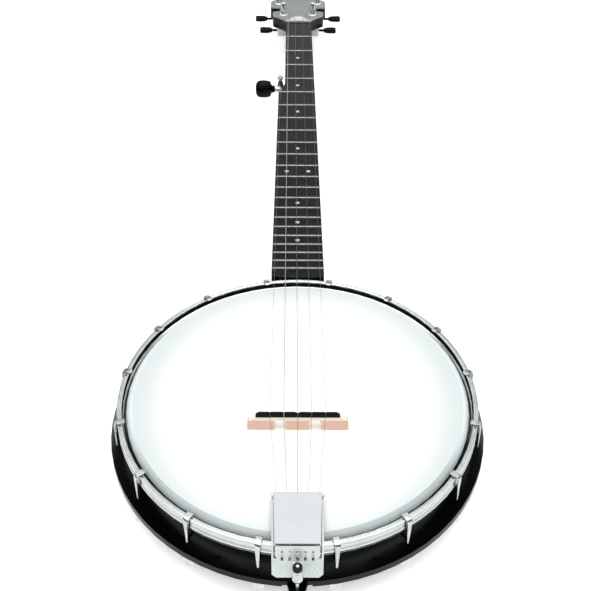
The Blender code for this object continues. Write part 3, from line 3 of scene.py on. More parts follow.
import bmesh
import bpy
from mathutils import Matrix
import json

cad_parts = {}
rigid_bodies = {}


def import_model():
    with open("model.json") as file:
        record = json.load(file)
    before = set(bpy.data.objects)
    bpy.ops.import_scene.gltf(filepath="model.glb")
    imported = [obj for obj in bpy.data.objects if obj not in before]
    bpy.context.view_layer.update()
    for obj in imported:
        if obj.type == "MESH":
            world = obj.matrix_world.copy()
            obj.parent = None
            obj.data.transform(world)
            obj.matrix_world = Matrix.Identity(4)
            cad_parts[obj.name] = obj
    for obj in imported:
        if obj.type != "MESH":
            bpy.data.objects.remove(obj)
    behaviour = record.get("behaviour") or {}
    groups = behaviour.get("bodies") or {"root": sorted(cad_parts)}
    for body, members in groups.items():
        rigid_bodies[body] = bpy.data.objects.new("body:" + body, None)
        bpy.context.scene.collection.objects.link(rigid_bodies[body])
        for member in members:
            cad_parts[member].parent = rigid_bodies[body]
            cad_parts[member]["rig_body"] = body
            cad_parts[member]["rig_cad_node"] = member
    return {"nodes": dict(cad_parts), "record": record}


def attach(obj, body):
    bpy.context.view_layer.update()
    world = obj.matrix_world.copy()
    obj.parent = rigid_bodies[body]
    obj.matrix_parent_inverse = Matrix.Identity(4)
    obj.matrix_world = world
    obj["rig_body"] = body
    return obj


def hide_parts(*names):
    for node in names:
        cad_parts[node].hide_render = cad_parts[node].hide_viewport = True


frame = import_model()


def deselectAll():
    bpy.ops.object.select_all(action="DESELECT")


deselectAll()
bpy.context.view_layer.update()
nodes = frame["nodes"]
behaviour = frame["record"]["behaviour"]
bodyOf = {node: body for body, members in behaviour["bodies"].items() for node in members}
jointPlace = {joint["name"]: joint["pos_m"] for joint in behaviour["joints"] if "pos_m" in joint}
slotOf = {part["node"]: part["material_slot"] for part in frame["record"]["subparts"]}
print("frame loaded:", len(nodes), "pieces")

potAxis = (0.0, -0.2861, 0.0)
mergeGap = 0.000002


camera = {
    "place": (-0.0032, -0.91403, 0.73315),
    "turnDeg": (47.062, -0.349, -0.009),
    "lens": 68.63,
    "shift": (-0.0067, 0.0384),
    "sensorWidth": 36,
    "clip": (0.01, 50),
}
# The soft room: brightness of the sky against the height of a direction, in front of the banjo and behind it
studio = {
    "frontSky": ((0.0, 0.01), (0.26, 0.01), (0.285, 0.5), (0.32, 1.2), (0.35, 1.7), (0.38, 1.4),
                 (0.43, 0.8), (0.50, 0.3), (0.56, 0.2), (0.64, 1.6), (0.90, 1.6), (0.95, 3.0)),
    "backSky": ((0.0, 0.9), (0.46, 0.9), (0.54, 0.16), (0.67, 0.16), (0.70, 0.86), (0.90, 0.86), (0.95, 3.0)),
    "skyStrength": 3.0,              # the ramps hold a share of this
    "sideBlend": (0.04, 0.34),       # where the far sky takes over from the near one
    "tint": (0.972, 1.0, 0.997),
    "backdrop": (0.93, 0.94, 0.94),
    "floorColour": (0.95, 0.95, 0.95),
    "floorGlow": 0.42,               # the paper is lit through, so shadows on it stay faint
    "floorMirrored": (0.97, 1.0, 1.0),
    "floorFade": (0.58, 0.78),       # seen along its surface the paper mirrors darker: from, to
    "floorFadeTo": 0.08,
    "floorRoughness": 0.95,
    "floorSize": 8.0,
    "floorDrop": 0.0004,
}


def addNode(tree, kind, **values):
    node = tree.nodes.new(kind)
    for name, value in values.items():
        if name in node.inputs:
            node.inputs[name].default_value = value
        else:
            setattr(node, name, value)
    return node


def joinUp(tree, *pairs):
    for out, into in pairs:
        tree.links.new(out, into)


def startMaterial(name, **sockets):
    material = bpy.data.materials.new(name)
    material.use_nodes = True
    tree = material.node_tree
    shader = tree.nodes["Principled BSDF"]
    for socket, value in sockets.items():
        shader.inputs[socket.replace("_", " ")].default_value = value
    return material, tree, shader


def useGroup(tree, group, **values):
    node = tree.nodes.new("ShaderNodeGroup")
    node.node_tree = group
    for name, value in values.items():
        node.inputs[name.replace("_", " ")].default_value = value
    return node


def blendColours(tree, factor, first, second):
    mix = addNode(tree, "ShaderNodeMix", data_type="RGBA")
    plugs = [plug for plug in mix.inputs if plug.type == "RGBA"]
    for plug, colour in zip(plugs, (first, second)):
        if isinstance(colour, tuple):
            plug.default_value = (*colour, 1)
        else:
            tree.links.new(colour, plug)
    tree.links.new(factor, mix.inputs["Factor"])
    return [plug for plug in mix.outputs if plug.type == "RGBA"][0]


def rampBetween(tree, value, start, end, smooth="SMOOTHSTEP", reach=(0.0, 1.0)):
    ramp = addNode(tree, "ShaderNodeMapRange", interpolation_type=smooth)
    ramp.inputs["From Min"].default_value, ramp.inputs["From Max"].default_value = start, end
    ramp.inputs["To Min"].default_value, ramp.inputs["To Max"].default_value = reach
    tree.links.new(value, ramp.inputs["Value"])
    return ramp.outputs["Result"]


def scaledBy(tree, value, factor):
    product = addNode(tree, "ShaderNodeMath", operation="MULTIPLY")
    tree.links.new(value, product.inputs[0])
    if isinstance(factor, float):
        product.inputs[1].default_value = factor
    else:
        tree.links.new(factor, product.inputs[1])
    return product.outputs["Value"]


def distanceFrom(tree, middle, squeeze=1.0):
    place = addNode(tree, "ShaderNodeTexCoord")
    centre = addNode(tree, "ShaderNodeMapping", Scale=(1, squeeze, 0))
    centre.inputs["Location"].default_value = (-middle[0], -middle[1] * squeeze, 0)
    length = addNode(tree, "ShaderNodeVectorMath", operation="LENGTH")
    joinUp(tree, (place.outputs["Object"], centre.inputs["Vector"]),
           (centre.outputs["Vector"], length.inputs[0]))
    return length.outputs["Value"]


def finishShader(tree, shader, colour, marks, height, look):
    bump = addNode(tree, "ShaderNodeBump", Strength=look["bump"], Distance=look.get("depth", 0.00005))
    joinUp(tree, (colour, shader.inputs["Base Color"]), (marks.outputs["Roughness"], shader.inputs["Roughness"]),
           (height, bump.inputs["Height"]), (bump.outputs["Normal"], shader.inputs["Normal"]))


def setStops(ramp, stops):
    marks = ramp.color_ramp.elements
    while len(marks) < len(stops):
        marks.new(0.5)
    for mark, (place, strength) in zip(marks, stops):
        mark.position = place
        mark.color = (*[strength * part for part in studio["tint"]], 1)


def skyRamp(tree, stops):
    ramp = addNode(tree, "ShaderNodeValToRGB")
    setStops(ramp, [(height, strength / studio["skyStrength"]) for height, strength in stops])
    return ramp


def makeWorld():
    world = bpy.data.worlds.new("softRoom")
    world.use_nodes = True
    tree = world.node_tree
    background = tree.nodes["Background"]
    look = addNode(tree, "ShaderNodeTexCoord")
    split = addNode(tree, "ShaderNodeSeparateXYZ")
    front = skyRamp(tree, studio["frontSky"])
    back = skyRamp(tree, studio["backSky"])
    seen = addNode(tree, "ShaderNodeLightPath")
    side = rampBetween(tree, split.outputs["Y"], *studio["sideBlend"])
    sky = blendColours(tree, side, front.outputs["Color"], back.outputs["Color"])
    backdrop = tuple(part / studio["skyStrength"] for part in studio["backdrop"])
    shown = blendColours(tree, seen.outputs["Is Camera Ray"], sky, backdrop)
    joinUp(tree, (look.outputs["Generated"], split.inputs["Vector"]), (split.outputs["Z"], front.inputs["Fac"]),
           (split.outputs["Z"], back.inputs["Fac"]), (shown, background.inputs["Color"]))
    background.inputs["Strength"].default_value = studio["skyStrength"]
    bpy.context.scene.world = world
    bpy.context.scene.view_settings.view_transform = "Standard"


def makeFloor():
    bpy.ops.mesh.primitive_plane_add(size=studio["floorSize"], location=(0, 0, -studio["floorDrop"]))
    floor = bpy.context.object
    floor.name = "floor"
    paper, tree, shader = startMaterial("floorPaper", Roughness=studio["floorRoughness"],
                                        Emission_Strength=studio["floorGlow"], Emission_Color=(1, 1, 1, 1),
                                        Base_Color=(*studio["floorColour"], 1))
    seen = addNode(tree, "ShaderNodeLightPath")
    slant = addNode(tree, "ShaderNodeLayerWeight", Blend=0.5)
    dimmed = rampBetween(tree, slant.outputs["Facing"], *studio["floorFade"], reach=(1.0, studio["floorFadeTo"]))
    mirrored = addNode(tree, "ShaderNodeEmission", Color=(*studio["floorMirrored"], 1))
    either = addNode(tree, "ShaderNodeMixShader")
    joinUp(tree, (seen.outputs["Is Glossy Ray"], either.inputs[0]), (dimmed, mirrored.inputs["Strength"]),
           (shader.outputs["BSDF"], either.inputs[1]), (mirrored.outputs["Emission"], either.inputs[2]),
           (either.outputs["Shader"], tree.nodes["Material Output"].inputs["Surface"]))
    floor.data.materials.append(paper)


def makeCamera():
    bpy.ops.object.camera_add(location=camera["place"])
    eye = bpy.context.object
    eye.name = "photoCamera"
    eye.rotation_euler = [math.radians(turn) for turn in camera["turnDeg"]]
    eye.data.lens = camera["lens"]
    eye.data.sensor_width = camera["sensorWidth"]
    eye.data.shift_x, eye.data.shift_y = camera["shift"]
    eye.data.clip_start, eye.data.clip_end = camera["clip"]
    bpy.context.scene.camera = eye


makeWorld()
makeFloor()
makeCamera()
deselectAll()
print("studio ready")


# Effects that several finishes share
def startGroup(name, inputs, outputs):
    group = bpy.data.node_groups.new(name, "ShaderNodeTree")
    for label, kind, value in inputs:
        group.interface.new_socket(name=label, in_out="INPUT", socket_type=kind).default_value = value
    for label, kind in outputs:
        group.interface.new_socket(name=label, in_out="OUTPUT", socket_type=kind)
    return group, group.nodes.new("NodeGroupInput"), group.nodes.new("NodeGroupOutput")


handledMarks = {"patchFrom": 0.42, "patchTo": 0.66, "grainShare": 0.35}


def makeHandledSurface():
    # fingerprints and wiping marks: broad patches that change the gloss, and a fine grain under them
    group, entry, leave = startGroup(
        "handledSurface",
        [("Roughness", "NodeSocketFloat", 0.2), ("Smudge", "NodeSocketFloat", 0.4),
         ("Patch Size", "NodeSocketFloat", 60.0), ("Grain Size", "NodeSocketFloat", 1500.0)],
        [("Roughness", "NodeSocketFloat"), ("Smudges", "NodeSocketFloat"), ("Height", "NodeSocketFloat")])
    place = addNode(group, "ShaderNodeTexCoord")
    patches = addNode(group, "ShaderNodeTexNoise", Detail=4.0, Roughness=0.6)
    spread = rampBetween(group, patches.outputs["Fac"], handledMarks["patchFrom"], handledMarks["patchTo"])
    grain = addNode(group, "ShaderNodeTexNoise", Detail=2.0)
    both = addNode(group, "ShaderNodeMath", operation="MULTIPLY_ADD")
    both.inputs[1].default_value = handledMarks["grainShare"]
    worn = addNode(group, "ShaderNodeMath", operation="MULTIPLY_ADD")
    worn.inputs[2].default_value = 1.0
    final = scaledBy(group, worn.outputs["Value"], entry.outputs["Roughness"])
    joinUp(group, (place.outputs["Object"], patches.inputs["Vector"]),
           (entry.outputs["Patch Size"], patches.inputs["Scale"]),
           (place.outputs["Object"], grain.inputs["Vector"]), (entry.outputs["Grain Size"], grain.inputs["Scale"]),
           (grain.outputs["Fac"], both.inputs[0]), (spread, both.inputs[2]), (both.outputs["Value"], worn.inputs[0]),
           (entry.outputs["Smudge"], worn.inputs[1]), (final, leave.inputs["Roughness"]),
           (spread, leave.inputs["Smudges"]), (grain.outputs["Fac"], leave.inputs["Height"]))
    return group


woodPores = {"from": 0.58, "to": 0.7, "height": -0.8}


def makeWoodGrain():
    # long streaks with short pores; the caller's Mapping node gives direction and stretch
    group, entry, leave = startGroup(
        "woodGrain",
        [("Vector", "NodeSocketVector", (0, 0, 0)), ("Streak Size", "NodeSocketFloat", 400.0),
         ("Pore Size", "NodeSocketFloat", 1800.0)],
        [("Streaks", "NodeSocketFloat"), ("Pores", "NodeSocketFloat"), ("Height", "NodeSocketFloat")])
    streaks = addNode(group, "ShaderNodeTexNoise", Detail=5.0, Roughness=0.62, Distortion=0.4)
    pores = addNode(group, "ShaderNodeTexNoise", Detail=1.0)
    sharp = rampBetween(group, pores.outputs["Fac"], woodPores["from"], woodPores["to"], "LINEAR")
    height = addNode(group, "ShaderNodeMath", operation="MULTIPLY_ADD")
    height.inputs[1].default_value = woodPores["height"]
    joinUp(group, (entry.outputs["Vector"], streaks.inputs["Vector"]),
           (entry.outputs["Streak Size"], streaks.inputs["Scale"]),
           (entry.outputs["Vector"], pores.inputs["Vector"]), (entry.outputs["Pore Size"], pores.inputs["Scale"]),
           (sharp, height.inputs[0]), (streaks.outputs["Fac"], height.inputs[2]),
           (streaks.outputs["Fac"], leave.inputs["Streaks"]), (sharp, leave.inputs["Pores"]),
           (height.outputs["Value"], leave.inputs["Height"]))
    return group


def makeFineSpecks():
    # dust on lacquer and the sprayed grain of a coating
    group, entry, leave = startGroup(
        "fineSpecks",
        [("Speck Size", "NodeSocketFloat", 900.0), ("Amount", "NodeSocketFloat", 0.1)],
        [("Specks", "NodeSocketFloat"), ("Height", "NodeSocketFloat")])
    place = addNode(group, "ShaderNodeTexCoord")
    cells = addNode(group, "ShaderNodeTexVoronoi")
    near = addNode(group, "ShaderNodeMapRange")
    near.inputs["From Min"].default_value = 0.0
    near.inputs["To Min"].default_value = 1.0
    near.inputs["To Max"].default_value = 0.0
    joinUp(group, (place.outputs["Object"], cells.inputs["Vector"]),
           (entry.outputs["Speck Size"], cells.inputs["Scale"]), (cells.outputs["Distance"], near.inputs["Value"]),
           (entry.outputs["Amount"], near.inputs["From Max"]), (near.outputs["Result"], leave.inputs["Specks"]),
           (cells.outputs["Distance"], leave.inputs["Height"]))
    return group


handledSurface = makeHandledSurface()
woodGrain = makeWoodGrain()
fineSpecks = makeFineSpecks()


# Plated and painted finishes that are a colour, a gloss and the marks of handling
handledFinishes = {
    "chrome": {"colour": (0.80, 0.812, 0.812), "dull": (0.66, 0.675, 0.68), "metal": 1.0, "roughness": 0.13,
               "smudge": 0.7, "patch": 90.0, "bump": 0.03},
    "lidChrome": {"colour": (0.64, 0.655, 0.67), "dull": (0.615, 0.63, 0.64), "metal": 0.2, "roughness": 0.3,
                  "smudge": 0.25, "patch": 45.0, "bump": 0.04},
    "plateChrome": {"colour": (0.70, 0.74, 0.735), "dull": (0.62, 0.66, 0.655), "metal": 0.35, "roughness": 0.24,
                    "smudge": 0.25, "patch": 45.0, "bump": 0.04},
    "caseChrome": {"colour": (0.82, 0.83, 0.83), "dull": (0.70, 0.71, 0.71), "metal": 0.45, "roughness": 0.2,
                   "smudge": 0.5, "patch": 110.0, "bump": 0.03},
    "bareAluminium": {"colour": (0.60, 0.61, 0.62), "dull": (0.45, 0.46, 0.47), "metal": 1.0, "roughness": 0.38,
                      "smudge": 0.4, "patch": 120.0, "bump": 0.15},
    "nickelFret": {"colour": (0.42, 0.417, 0.405), "dull": (0.32, 0.317, 0.305), "metal": 1.0, "roughness": 0.24,
                   "smudge": 0.5, "patch": 260.0, "bump": 0.1},
    "steel": {"colour": (0.55, 0.555, 0.56), "dull": (0.36, 0.36, 0.36), "metal": 1.0, "roughness": 0.28,
              "smudge": 0.5, "patch": 110.0, "bump": 0.12},
    "darkSteel": {"colour": (0.05, 0.047, 0.04), "dull": (0.02, 0.019, 0.016), "metal": 1.0, "roughness": 0.26,
                  "smudge": 0.5, "patch": 500.0, "bump": 0.1},
    "stringSteel": {"colour": (0.34, 0.34, 0.33), "dull": (0.24, 0.24, 0.235), "metal": 1.0, "roughness": 0.26,
                    "smudge": 0.5, "patch": 70.0, "bump": 0.05},
    "blackButton": {"colour": (0.0025, 0.0025, 0.0027), "dull": (0.006, 0.006, 0.0065), "metal": 0.0,
                    "roughness": 0.13, "smudge": 0.6, "patch": 140.0, "bump": 0.02, "shine": 0.08},
    "coverWhite": {"colour": (0.66, 0.68, 0.68), "dull": (0.55, 0.565, 0.56), "metal": 0.0, "roughness": 0.35,
                   "smudge": 0.4, "patch": 160.0, "bump": 0.05},
    "nutBone": {"colour": (0.62, 0.62, 0.60), "dull": (0.50, 0.49, 0.46), "metal": 0.0, "roughness": 0.38,
                "smudge": 0.4, "patch": 300.0, "bump": 0.08},
    "dotPearl": {"colour": (0.56, 0.56, 0.55), "dull": (0.42, 0.44, 0.45), "metal": 0.0, "roughness": 0.25,
                 "smudge": 0.4, "patch": 700.0, "bump": 0.03},
}


def handledFinish(name, look):
    material, tree, shader = startMaterial(name, Metallic=look["metal"], Specular_IOR_Level=look.get("shine", 0.5))
    marks = useGroup(tree, handledSurface, Roughness=look["roughness"], Smudge=look["smudge"],
                     Patch_Size=look["patch"])
    colour = blendColours(tree, marks.outputs["Smudges"], look["colour"], look["dull"])
    finishShader(tree, shader, colour, marks, marks.outputs["Height"], look)
    return material


hoopPaintedLight = {
    "low": 0.0475, "high": 0.0609, "dull": (0.55, 0.57, 0.575), "dullShare": 0.3, "bump": 0.03,
    "marks": {"Roughness": 0.15, "Smudge": 0.5, "Patch_Size": 70.0},
    # stops: brightness up the hoop's height, painted reflection bands on the chrome
    "stops": ((0.0, 0.66), (0.08, 0.94), (0.30, 0.94), (0.36, 0.62), (0.48, 0.62), (0.54, 0.84), (0.70, 0.84),
              (0.78, 0.74), (0.90, 0.76), (0.96, 0.98), (1.0, 0.98)),
    # bore: painted shade, near black on the hoop's inner wall above the head's collar
    "bore": (0.012, 0.012, 0.013), "boreFrom": 0.1424, "boreTo": 0.1428, "boreLow": 0.0566, "boreHigh": 0.0573,
}


def hoopFinish():
    # rolled chrome: bands by height are painted reflection, bright at its foot and duller above; its bore is painted
    # shade
    look = hoopPaintedLight
    material, tree, shader = startMaterial("hoopChrome", Metallic=1.0)
    place = addNode(tree, "ShaderNodeTexCoord")
    split = addNode(tree, "ShaderNodeSeparateXYZ")
    joinUp(tree, (place.outputs["Object"], split.inputs["Vector"]))
    height = rampBetween(tree, split.outputs["Z"], look["low"], look["high"], "LINEAR")
    # painted reflection: bands of brightness by height
    bands = addNode(tree, "ShaderNodeValToRGB")
    setStops(bands, look["stops"])
    tree.links.new(height, bands.inputs["Fac"])
    marks = useGroup(tree, handledSurface, **look["marks"])
    faint = scaledBy(tree, marks.outputs["Smudges"], look["dullShare"])
    worn = blendColours(tree, faint, bands.outputs["Color"], look["dull"])
    # painted shade in the bore: the inner wall darkened near black
    inside = rampBetween(tree, distanceFrom(tree, potAxis), look["boreTo"], look["boreFrom"])
    above = rampBetween(tree, split.outputs["Z"], look["boreLow"], look["boreHigh"])
    colour = blendColours(tree, scaledBy(tree, inside, above), worn, look["bore"])
    finishShader(tree, shader, colour, marks, marks.outputs["Height"], look)
    return material


castPaint = {
    "colour": (0.0008, 0.0008, 0.0009), "dust": (0.006, 0.0065, 0.0065), "shine": 0.18, "bump": 0.05, "depth": 0.0002,
    "marks": {"Roughness": 0.12, "Smudge": 0.5, "Patch_Size": 40.0, "Grain_Size": 420.0},
    "specks": {"Speck_Size": 1100.0, "Amount": 0.16},
}


def castPaintFinish():
    # gloss black paint over a casting: a slow ripple and fine dust
    look = castPaint
    material, tree, shader = startMaterial("castPaint", Specular_IOR_Level=look["shine"])
    marks = useGroup(tree, handledSurface, **look["marks"])
    dust = useGroup(tree, fineSpecks, **look["specks"])
    colour = blendColours(tree, dust.outputs["Specks"], look["colour"], look["dust"])
    finishShader(tree, shader, colour, marks, marks.outputs["Height"], look)
    return material


headCoating = {
    "middle": (0.0, -0.290, 0.0),         # a little nearer the tail than the pot's axis
    "squeeze": 0.9,                       # the fade reaches further along the neck's line than across it
    "plain": (0.95, 0.95, 0.945),
    # edge: the grey towards the hoop, partly the thinner coating and partly painted shade
    "edge": (0.665, 0.695, 0.70),
    "fadeFrom": 0.088,
    "fadeTo": 0.137,
    "flatRadius": 0.1339,
    "collarBlend": 0.0006,
    # collar colours: painted shade, darker on the near side than on the far side
    "nearCollar": (0.45, 0.49, 0.49),
    "farCollar": (0.75, 0.79, 0.80),
    "collarFrom": -0.370,
    "collarTo": -0.310,
    # painted shadow: the collar near black below this height, under the hoop
    "tuckedEdge": (0.010, 0.010, 0.011),
    "tuckedTop": 0.0562,
    "tuckedBlend": 0.0003,
    "bump": 0.12,
    "depth": 0.00006,
    "marks": {"Roughness": 0.5, "Smudge": 0.15, "Patch_Size": 25.0, "Grain_Size": 2600.0},
    "specks": {"Speck_Size": 1500.0, "Amount": 0.2},
}


def headFinish():
    # sprayed white coating, greyer towards the hoop partly as the coating thins and partly as painted shade; bare film
    # on the bent collar, painted darker on its near side as painted shade, and painted black as painted shadow where
    # it is tucked under the hoop
    look = headCoating
    material, tree, shader = startMaterial("headCoating")
    place = addNode(tree, "ShaderNodeTexCoord")
    split = addNode(tree, "ShaderNodeSeparateXYZ")
    joinUp(tree, (place.outputs["Object"], split.inputs["Vector"]))
    spread = distanceFrom(tree, look["middle"], look["squeeze"])
    # grey towards the hoop: partly the coating, partly painted shade
    edgeShade = rampBetween(tree, spread, look["fadeFrom"], look["fadeTo"], "SMOOTHERSTEP")
    bend = rampBetween(tree, distanceFrom(tree, potAxis), look["flatRadius"],
                       look["flatRadius"] + look["collarBlend"])
    # painted shade: the collar darker on the near side
    along = rampBetween(tree, split.outputs["Y"], look["collarFrom"], look["collarTo"])
    # painted shadow under the hoop
    below = rampBetween(tree, split.outputs["Z"], look["tuckedTop"], look["tuckedTop"] - look["tuckedBlend"])
    marks = useGroup(tree, handledSurface, **look["marks"])
    specks = useGroup(tree, fineSpecks, **look["specks"])
    flat = blendColours(tree, edgeShade, look["plain"], look["edge"])
    film = blendColours(tree, along, look["nearCollar"], look["farCollar"])
    shown = blendColours(tree, bend, flat, film)
    colour = blendColours(tree, below, shown, look["tuckedEdge"])
    finishShader(tree, shader, colour, marks, specks.outputs["Height"], look)
    return material


woodHandling = {"Smudge": 0.3, "Patch_Size": 50.0}
# Woods: "stretch" is small along the grain
woods = {
    "neckLacquer": {"light": (0.005, 0.005, 0.005), "dark": (0.0025, 0.0025, 0.0025), "stretch": (1, 0.05, 1),
                    "streak": 300.0, "pore": 1500.0, "roughness": 0.2, "shine": 0.32, "bump": 0.05, "depth": 0.00008},
    "boardBlack": {"light": (0.0055, 0.0058, 0.0058), "dark": (0.0014, 0.0015, 0.0015), "stretch": (1, 0.06, 1),
                   "streak": 520.0, "pore": 2600.0, "roughness": 0.24, "shine": 0.32, "bump": 0.35, "depth": 0.00008},
    # headstock face: black, given a grey colour as painted sheen, with grain
    "headstockGrey": {"light": (0.25, 0.256, 0.262), "dark": (0.215, 0.221, 0.227), "stretch": (1, 0.06, 1),
                      "streak": 420.0, "pore": 2200.0, "roughness": 0.36, "shine": 0.5, "bump": 0.1, "depth": 0.00008},
    "bridgeEbony": {"light": (0.0045, 0.0037, 0.0033), "dark": (0.0015, 0.0013, 0.0012), "stretch": (0.06, 1, 1),
                    "streak": 900.0, "pore": 3200.0, "roughness": 0.34, "shine": 0.1, "bump": 0.2, "depth": 0.00008},
}


def woodFinish(name, look):
    material, tree, shader = startMaterial(name, Specular_IOR_Level=look["shine"])
    place = addNode(tree, "ShaderNodeTexCoord")
    stretch = addNode(tree, "ShaderNodeMapping", Scale=look["stretch"])
    grain = useGroup(tree, woodGrain, Streak_Size=look["streak"], Pore_Size=look["pore"])
    marks = useGroup(tree, handledSurface, Roughness=look["roughness"], **woodHandling)
    colour = blendColours(tree, grain.outputs["Streaks"], look["dark"], look["light"])
    joinUp(tree, (place.outputs["Object"], stretch.inputs["Vector"]),
           (stretch.outputs["Vector"], grain.inputs["Vector"]))
    finishShader(tree, shader, colour, marks, grain.outputs["Height"], look)
    return material


bridgeMaple = {
    # light and dark: streaks lifted near white above the feet as painted highlight; pink: the feet's own maple tone
    "light": (0.97, 0.85, 0.72), "dark": (0.92, 0.76, 0.62), "pink": (0.82, 0.52, 0.41), "fleck": (0.42, 0.24, 0.16),
    "footTop": 0.0694, "footLow": 0.0688, "fleckShare": 0.35, "stretch": (0.08, 1, 1), "bump": 0.15, "depth": 0.00006,
    "grain": {"Streak_Size": 650.0, "Pore_Size": 520.0},
    "marks": {"Roughness": 0.5, "Smudge": 0.3, "Patch_Size": 120.0},
}


def mapleFinish():
    # maple with short flecks across the quarter-sawn face: near white above the feet as painted highlight, pinker on
    # the feet
    look = bridgeMaple
    material, tree, shader = startMaterial("bridgeMaple")
    place = addNode(tree, "ShaderNodeTexCoord")
    stretch = addNode(tree, "ShaderNodeMapping", Scale=look["stretch"])
    grain = useGroup(tree, woodGrain, **look["grain"])
    marks = useGroup(tree, handledSurface, **look["marks"])
    split = addNode(tree, "ShaderNodeSeparateXYZ")
    # near-white painted highlight above the feet, pink maple on them
    foot = rampBetween(tree, split.outputs["Z"], look["footTop"], look["footLow"])
    wood = blendColours(tree, grain.outputs["Streaks"], look["dark"], look["light"])
    warm = blendColours(tree, foot, wood, look["pink"])
    flecks = scaledBy(tree, grain.outputs["Pores"], look["fleckShare"])
    colour = blendColours(tree, flecks, warm, look["fleck"])
    joinUp(tree, (place.outputs["Object"], stretch.inputs["Vector"]), (place.outputs["Object"], split.inputs[0]),
           (stretch.outputs["Vector"], grain.inputs["Vector"]))
    finishShader(tree, shader, colour, marks, grain.outputs["Height"], look)
    return material


woundWire = {"colour": (0.85, 0.84, 0.81), "valley": (0.58, 0.57, 0.55), "ringScale": 180.0, "bump": 0.4,
             "marks": {"Roughness": 0.28, "Smudge": 0.4, "Patch_Size": 80.0}}


def woundWireFinish():
    # the low string is wrapped: fine rings across its length, painted darker in the valleys between them as painted
    # shade
    look = woundWire
    material, tree, shader = startMaterial("woundWire", Metallic=1.0)
    place = addNode(tree, "ShaderNodeTexCoord")
    rings = addNode(tree, "ShaderNodeTexWave", wave_type="BANDS", bands_direction="Y", Scale=look["ringScale"])
    marks = useGroup(tree, handledSurface, **look["marks"])
    # rings: painted shade darkens the valleys between the wraps
    colour = blendColours(tree, rings.outputs["Fac"], look["valley"], look["colour"])
    tree.links.new(place.outputs["Object"], rings.inputs["Vector"])
    finishShader(tree, shader, colour, marks, rings.outputs["Fac"], look)
    return material


materials = {name: handledFinish(name, look) for name, look in handledFinishes.items()}
materials.update({name: woodFinish(name, look) for name, look in woods.items()})
materials["hoopChrome"] = hoopFinish()
materials["castPaint"] = castPaintFinish()
materials["headCoating"] = headFinish()
materials["bridgeMaple"] = mapleFinish()
materials["woundWire"] = woundWireFinish()
slotFinish = {
    "black_cast": "castPaint", "coated_head": "headCoating", "bare_aluminium": "bareAluminium",
    "chrome": "chrome", "black_neck": "neckLacquer", "fingerboard_black": "boardBlack", "nut_white": "nutBone",
    "headstock_grey": "headstockGrey", "bridge_maple": "bridgeMaple", "bridge_ebony": "bridgeEbony",
    "steel": "steel", "dark_steel": "darkSteel", "string_steel": "stringSteel", "black_button": "blackButton",
}
print("materials ready")


def alone(piece):
    deselectAll()
    piece.select_set(True)
    bpy.context.view_layer.objects.active = piece


def choose(piece, kind, keep):
    # selects faces or edges in edit mode by their place or normal
    bpy.ops.mesh.select_all(action="DESELECT")
    bpy.ops.mesh.select_mode(type=kind)
    shape = bmesh.from_edit_mesh(piece.data)
    for item in (shape.faces if kind == "FACE" else shape.edges):
        item.select_set(keep(item))
    shape.select_flush_mode()
    bmesh.update_edit_mesh(piece.data)


def applied(piece, kind, **settings):
    alone(piece)
    bpy.ops.object.modifier_add(type=kind)
    modifier = piece.modifiers[-1]
    for name, value in settings.items():
        setattr(modifier, name, value)
    bpy.ops.object.modifier_apply(modifier=modifier.name)


def placed(piece, place):
    alone(piece)
    piece.matrix_world = place
    bpy.ops.object.transform_apply(location=True, rotation=True, scale=True)


def copiesOf(piece, count):
    copies = [piece]
    while len(copies) < count:
        alone(piece)
        bpy.ops.object.duplicate()
        copies.append(bpy.context.object)
    return copies


def extruded(move, scale=None, middle=(0, 0, 0)):
    bpy.ops.mesh.extrude_region_move(TRANSFORM_OT_translate={"value": move})
    if scale:
        bpy.ops.transform.resize(value=scale, center_override=middle)


def finished(piece, name, finish, body, slot, smoothDeg, *replaced):
    alone(piece)
    piece.name = name
    bpy.ops.object.mode_set(mode="EDIT")
    bpy.ops.mesh.select_all(action="SELECT")
    bpy.ops.mesh.remove_doubles(threshold=mergeGap)
    bpy.ops.mesh.normals_make_consistent(inside=False)
    bpy.ops.object.mode_set(mode="OBJECT")
    bpy.ops.object.shade_smooth_by_angle(angle=math.radians(smoothDeg))
    piece.data.materials.clear()
    piece.data.materials.append(materials[finish])
    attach(piece, body)
    if replaced:
        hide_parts(*replaced)


def joined(pieces):
    deselectAll()
    for piece in pieces:
        piece.select_set(True)
    bpy.context.view_layer.objects.active = pieces[0]
    bpy.ops.object.join()
    return bpy.context.object


def pieceName(node):
    words = node.split("_")
    return words[0] + "".join(word.capitalize() for word in words[1:])


# The neck's own line: y along the strings from the bridge, z up from the fret tops
neckLine = {"start": (0, -0.3169, 0.0709), "tilt": -0.022, "headstockDeg": 10, "scale": 0.66675}
headstockTilt = neckLine["tilt"] - math.radians(neckLine["headstockDeg"])
neckFrame = Matrix.Translation(neckLine["start"]) @ Matrix.Rotation(neckLine["tilt"], 4, "X")


def atJoint(joint, tilt=headstockTilt):
    return Matrix.Translation(jointPlace[joint]) @ Matrix.Rotation(tilt, 4, "X")


fingerboard = {"nutRight": 0.0162, "endRight": 0.0238, "fifthLeft": 0.0218, "endLeft": 0.0240, "nutLeft": 0.0148,
               "end": 0.1786, "fifthFret": 0.4995, "rampStart": 0.504, "rampEnd": 0.518}


def boardRight(y):
    look = fingerboard
    share = (neckLine["scale"] - y) / (neckLine["scale"] - look["end"])
    return look["nutRight"] + (look["endRight"] - look["nutRight"]) * share


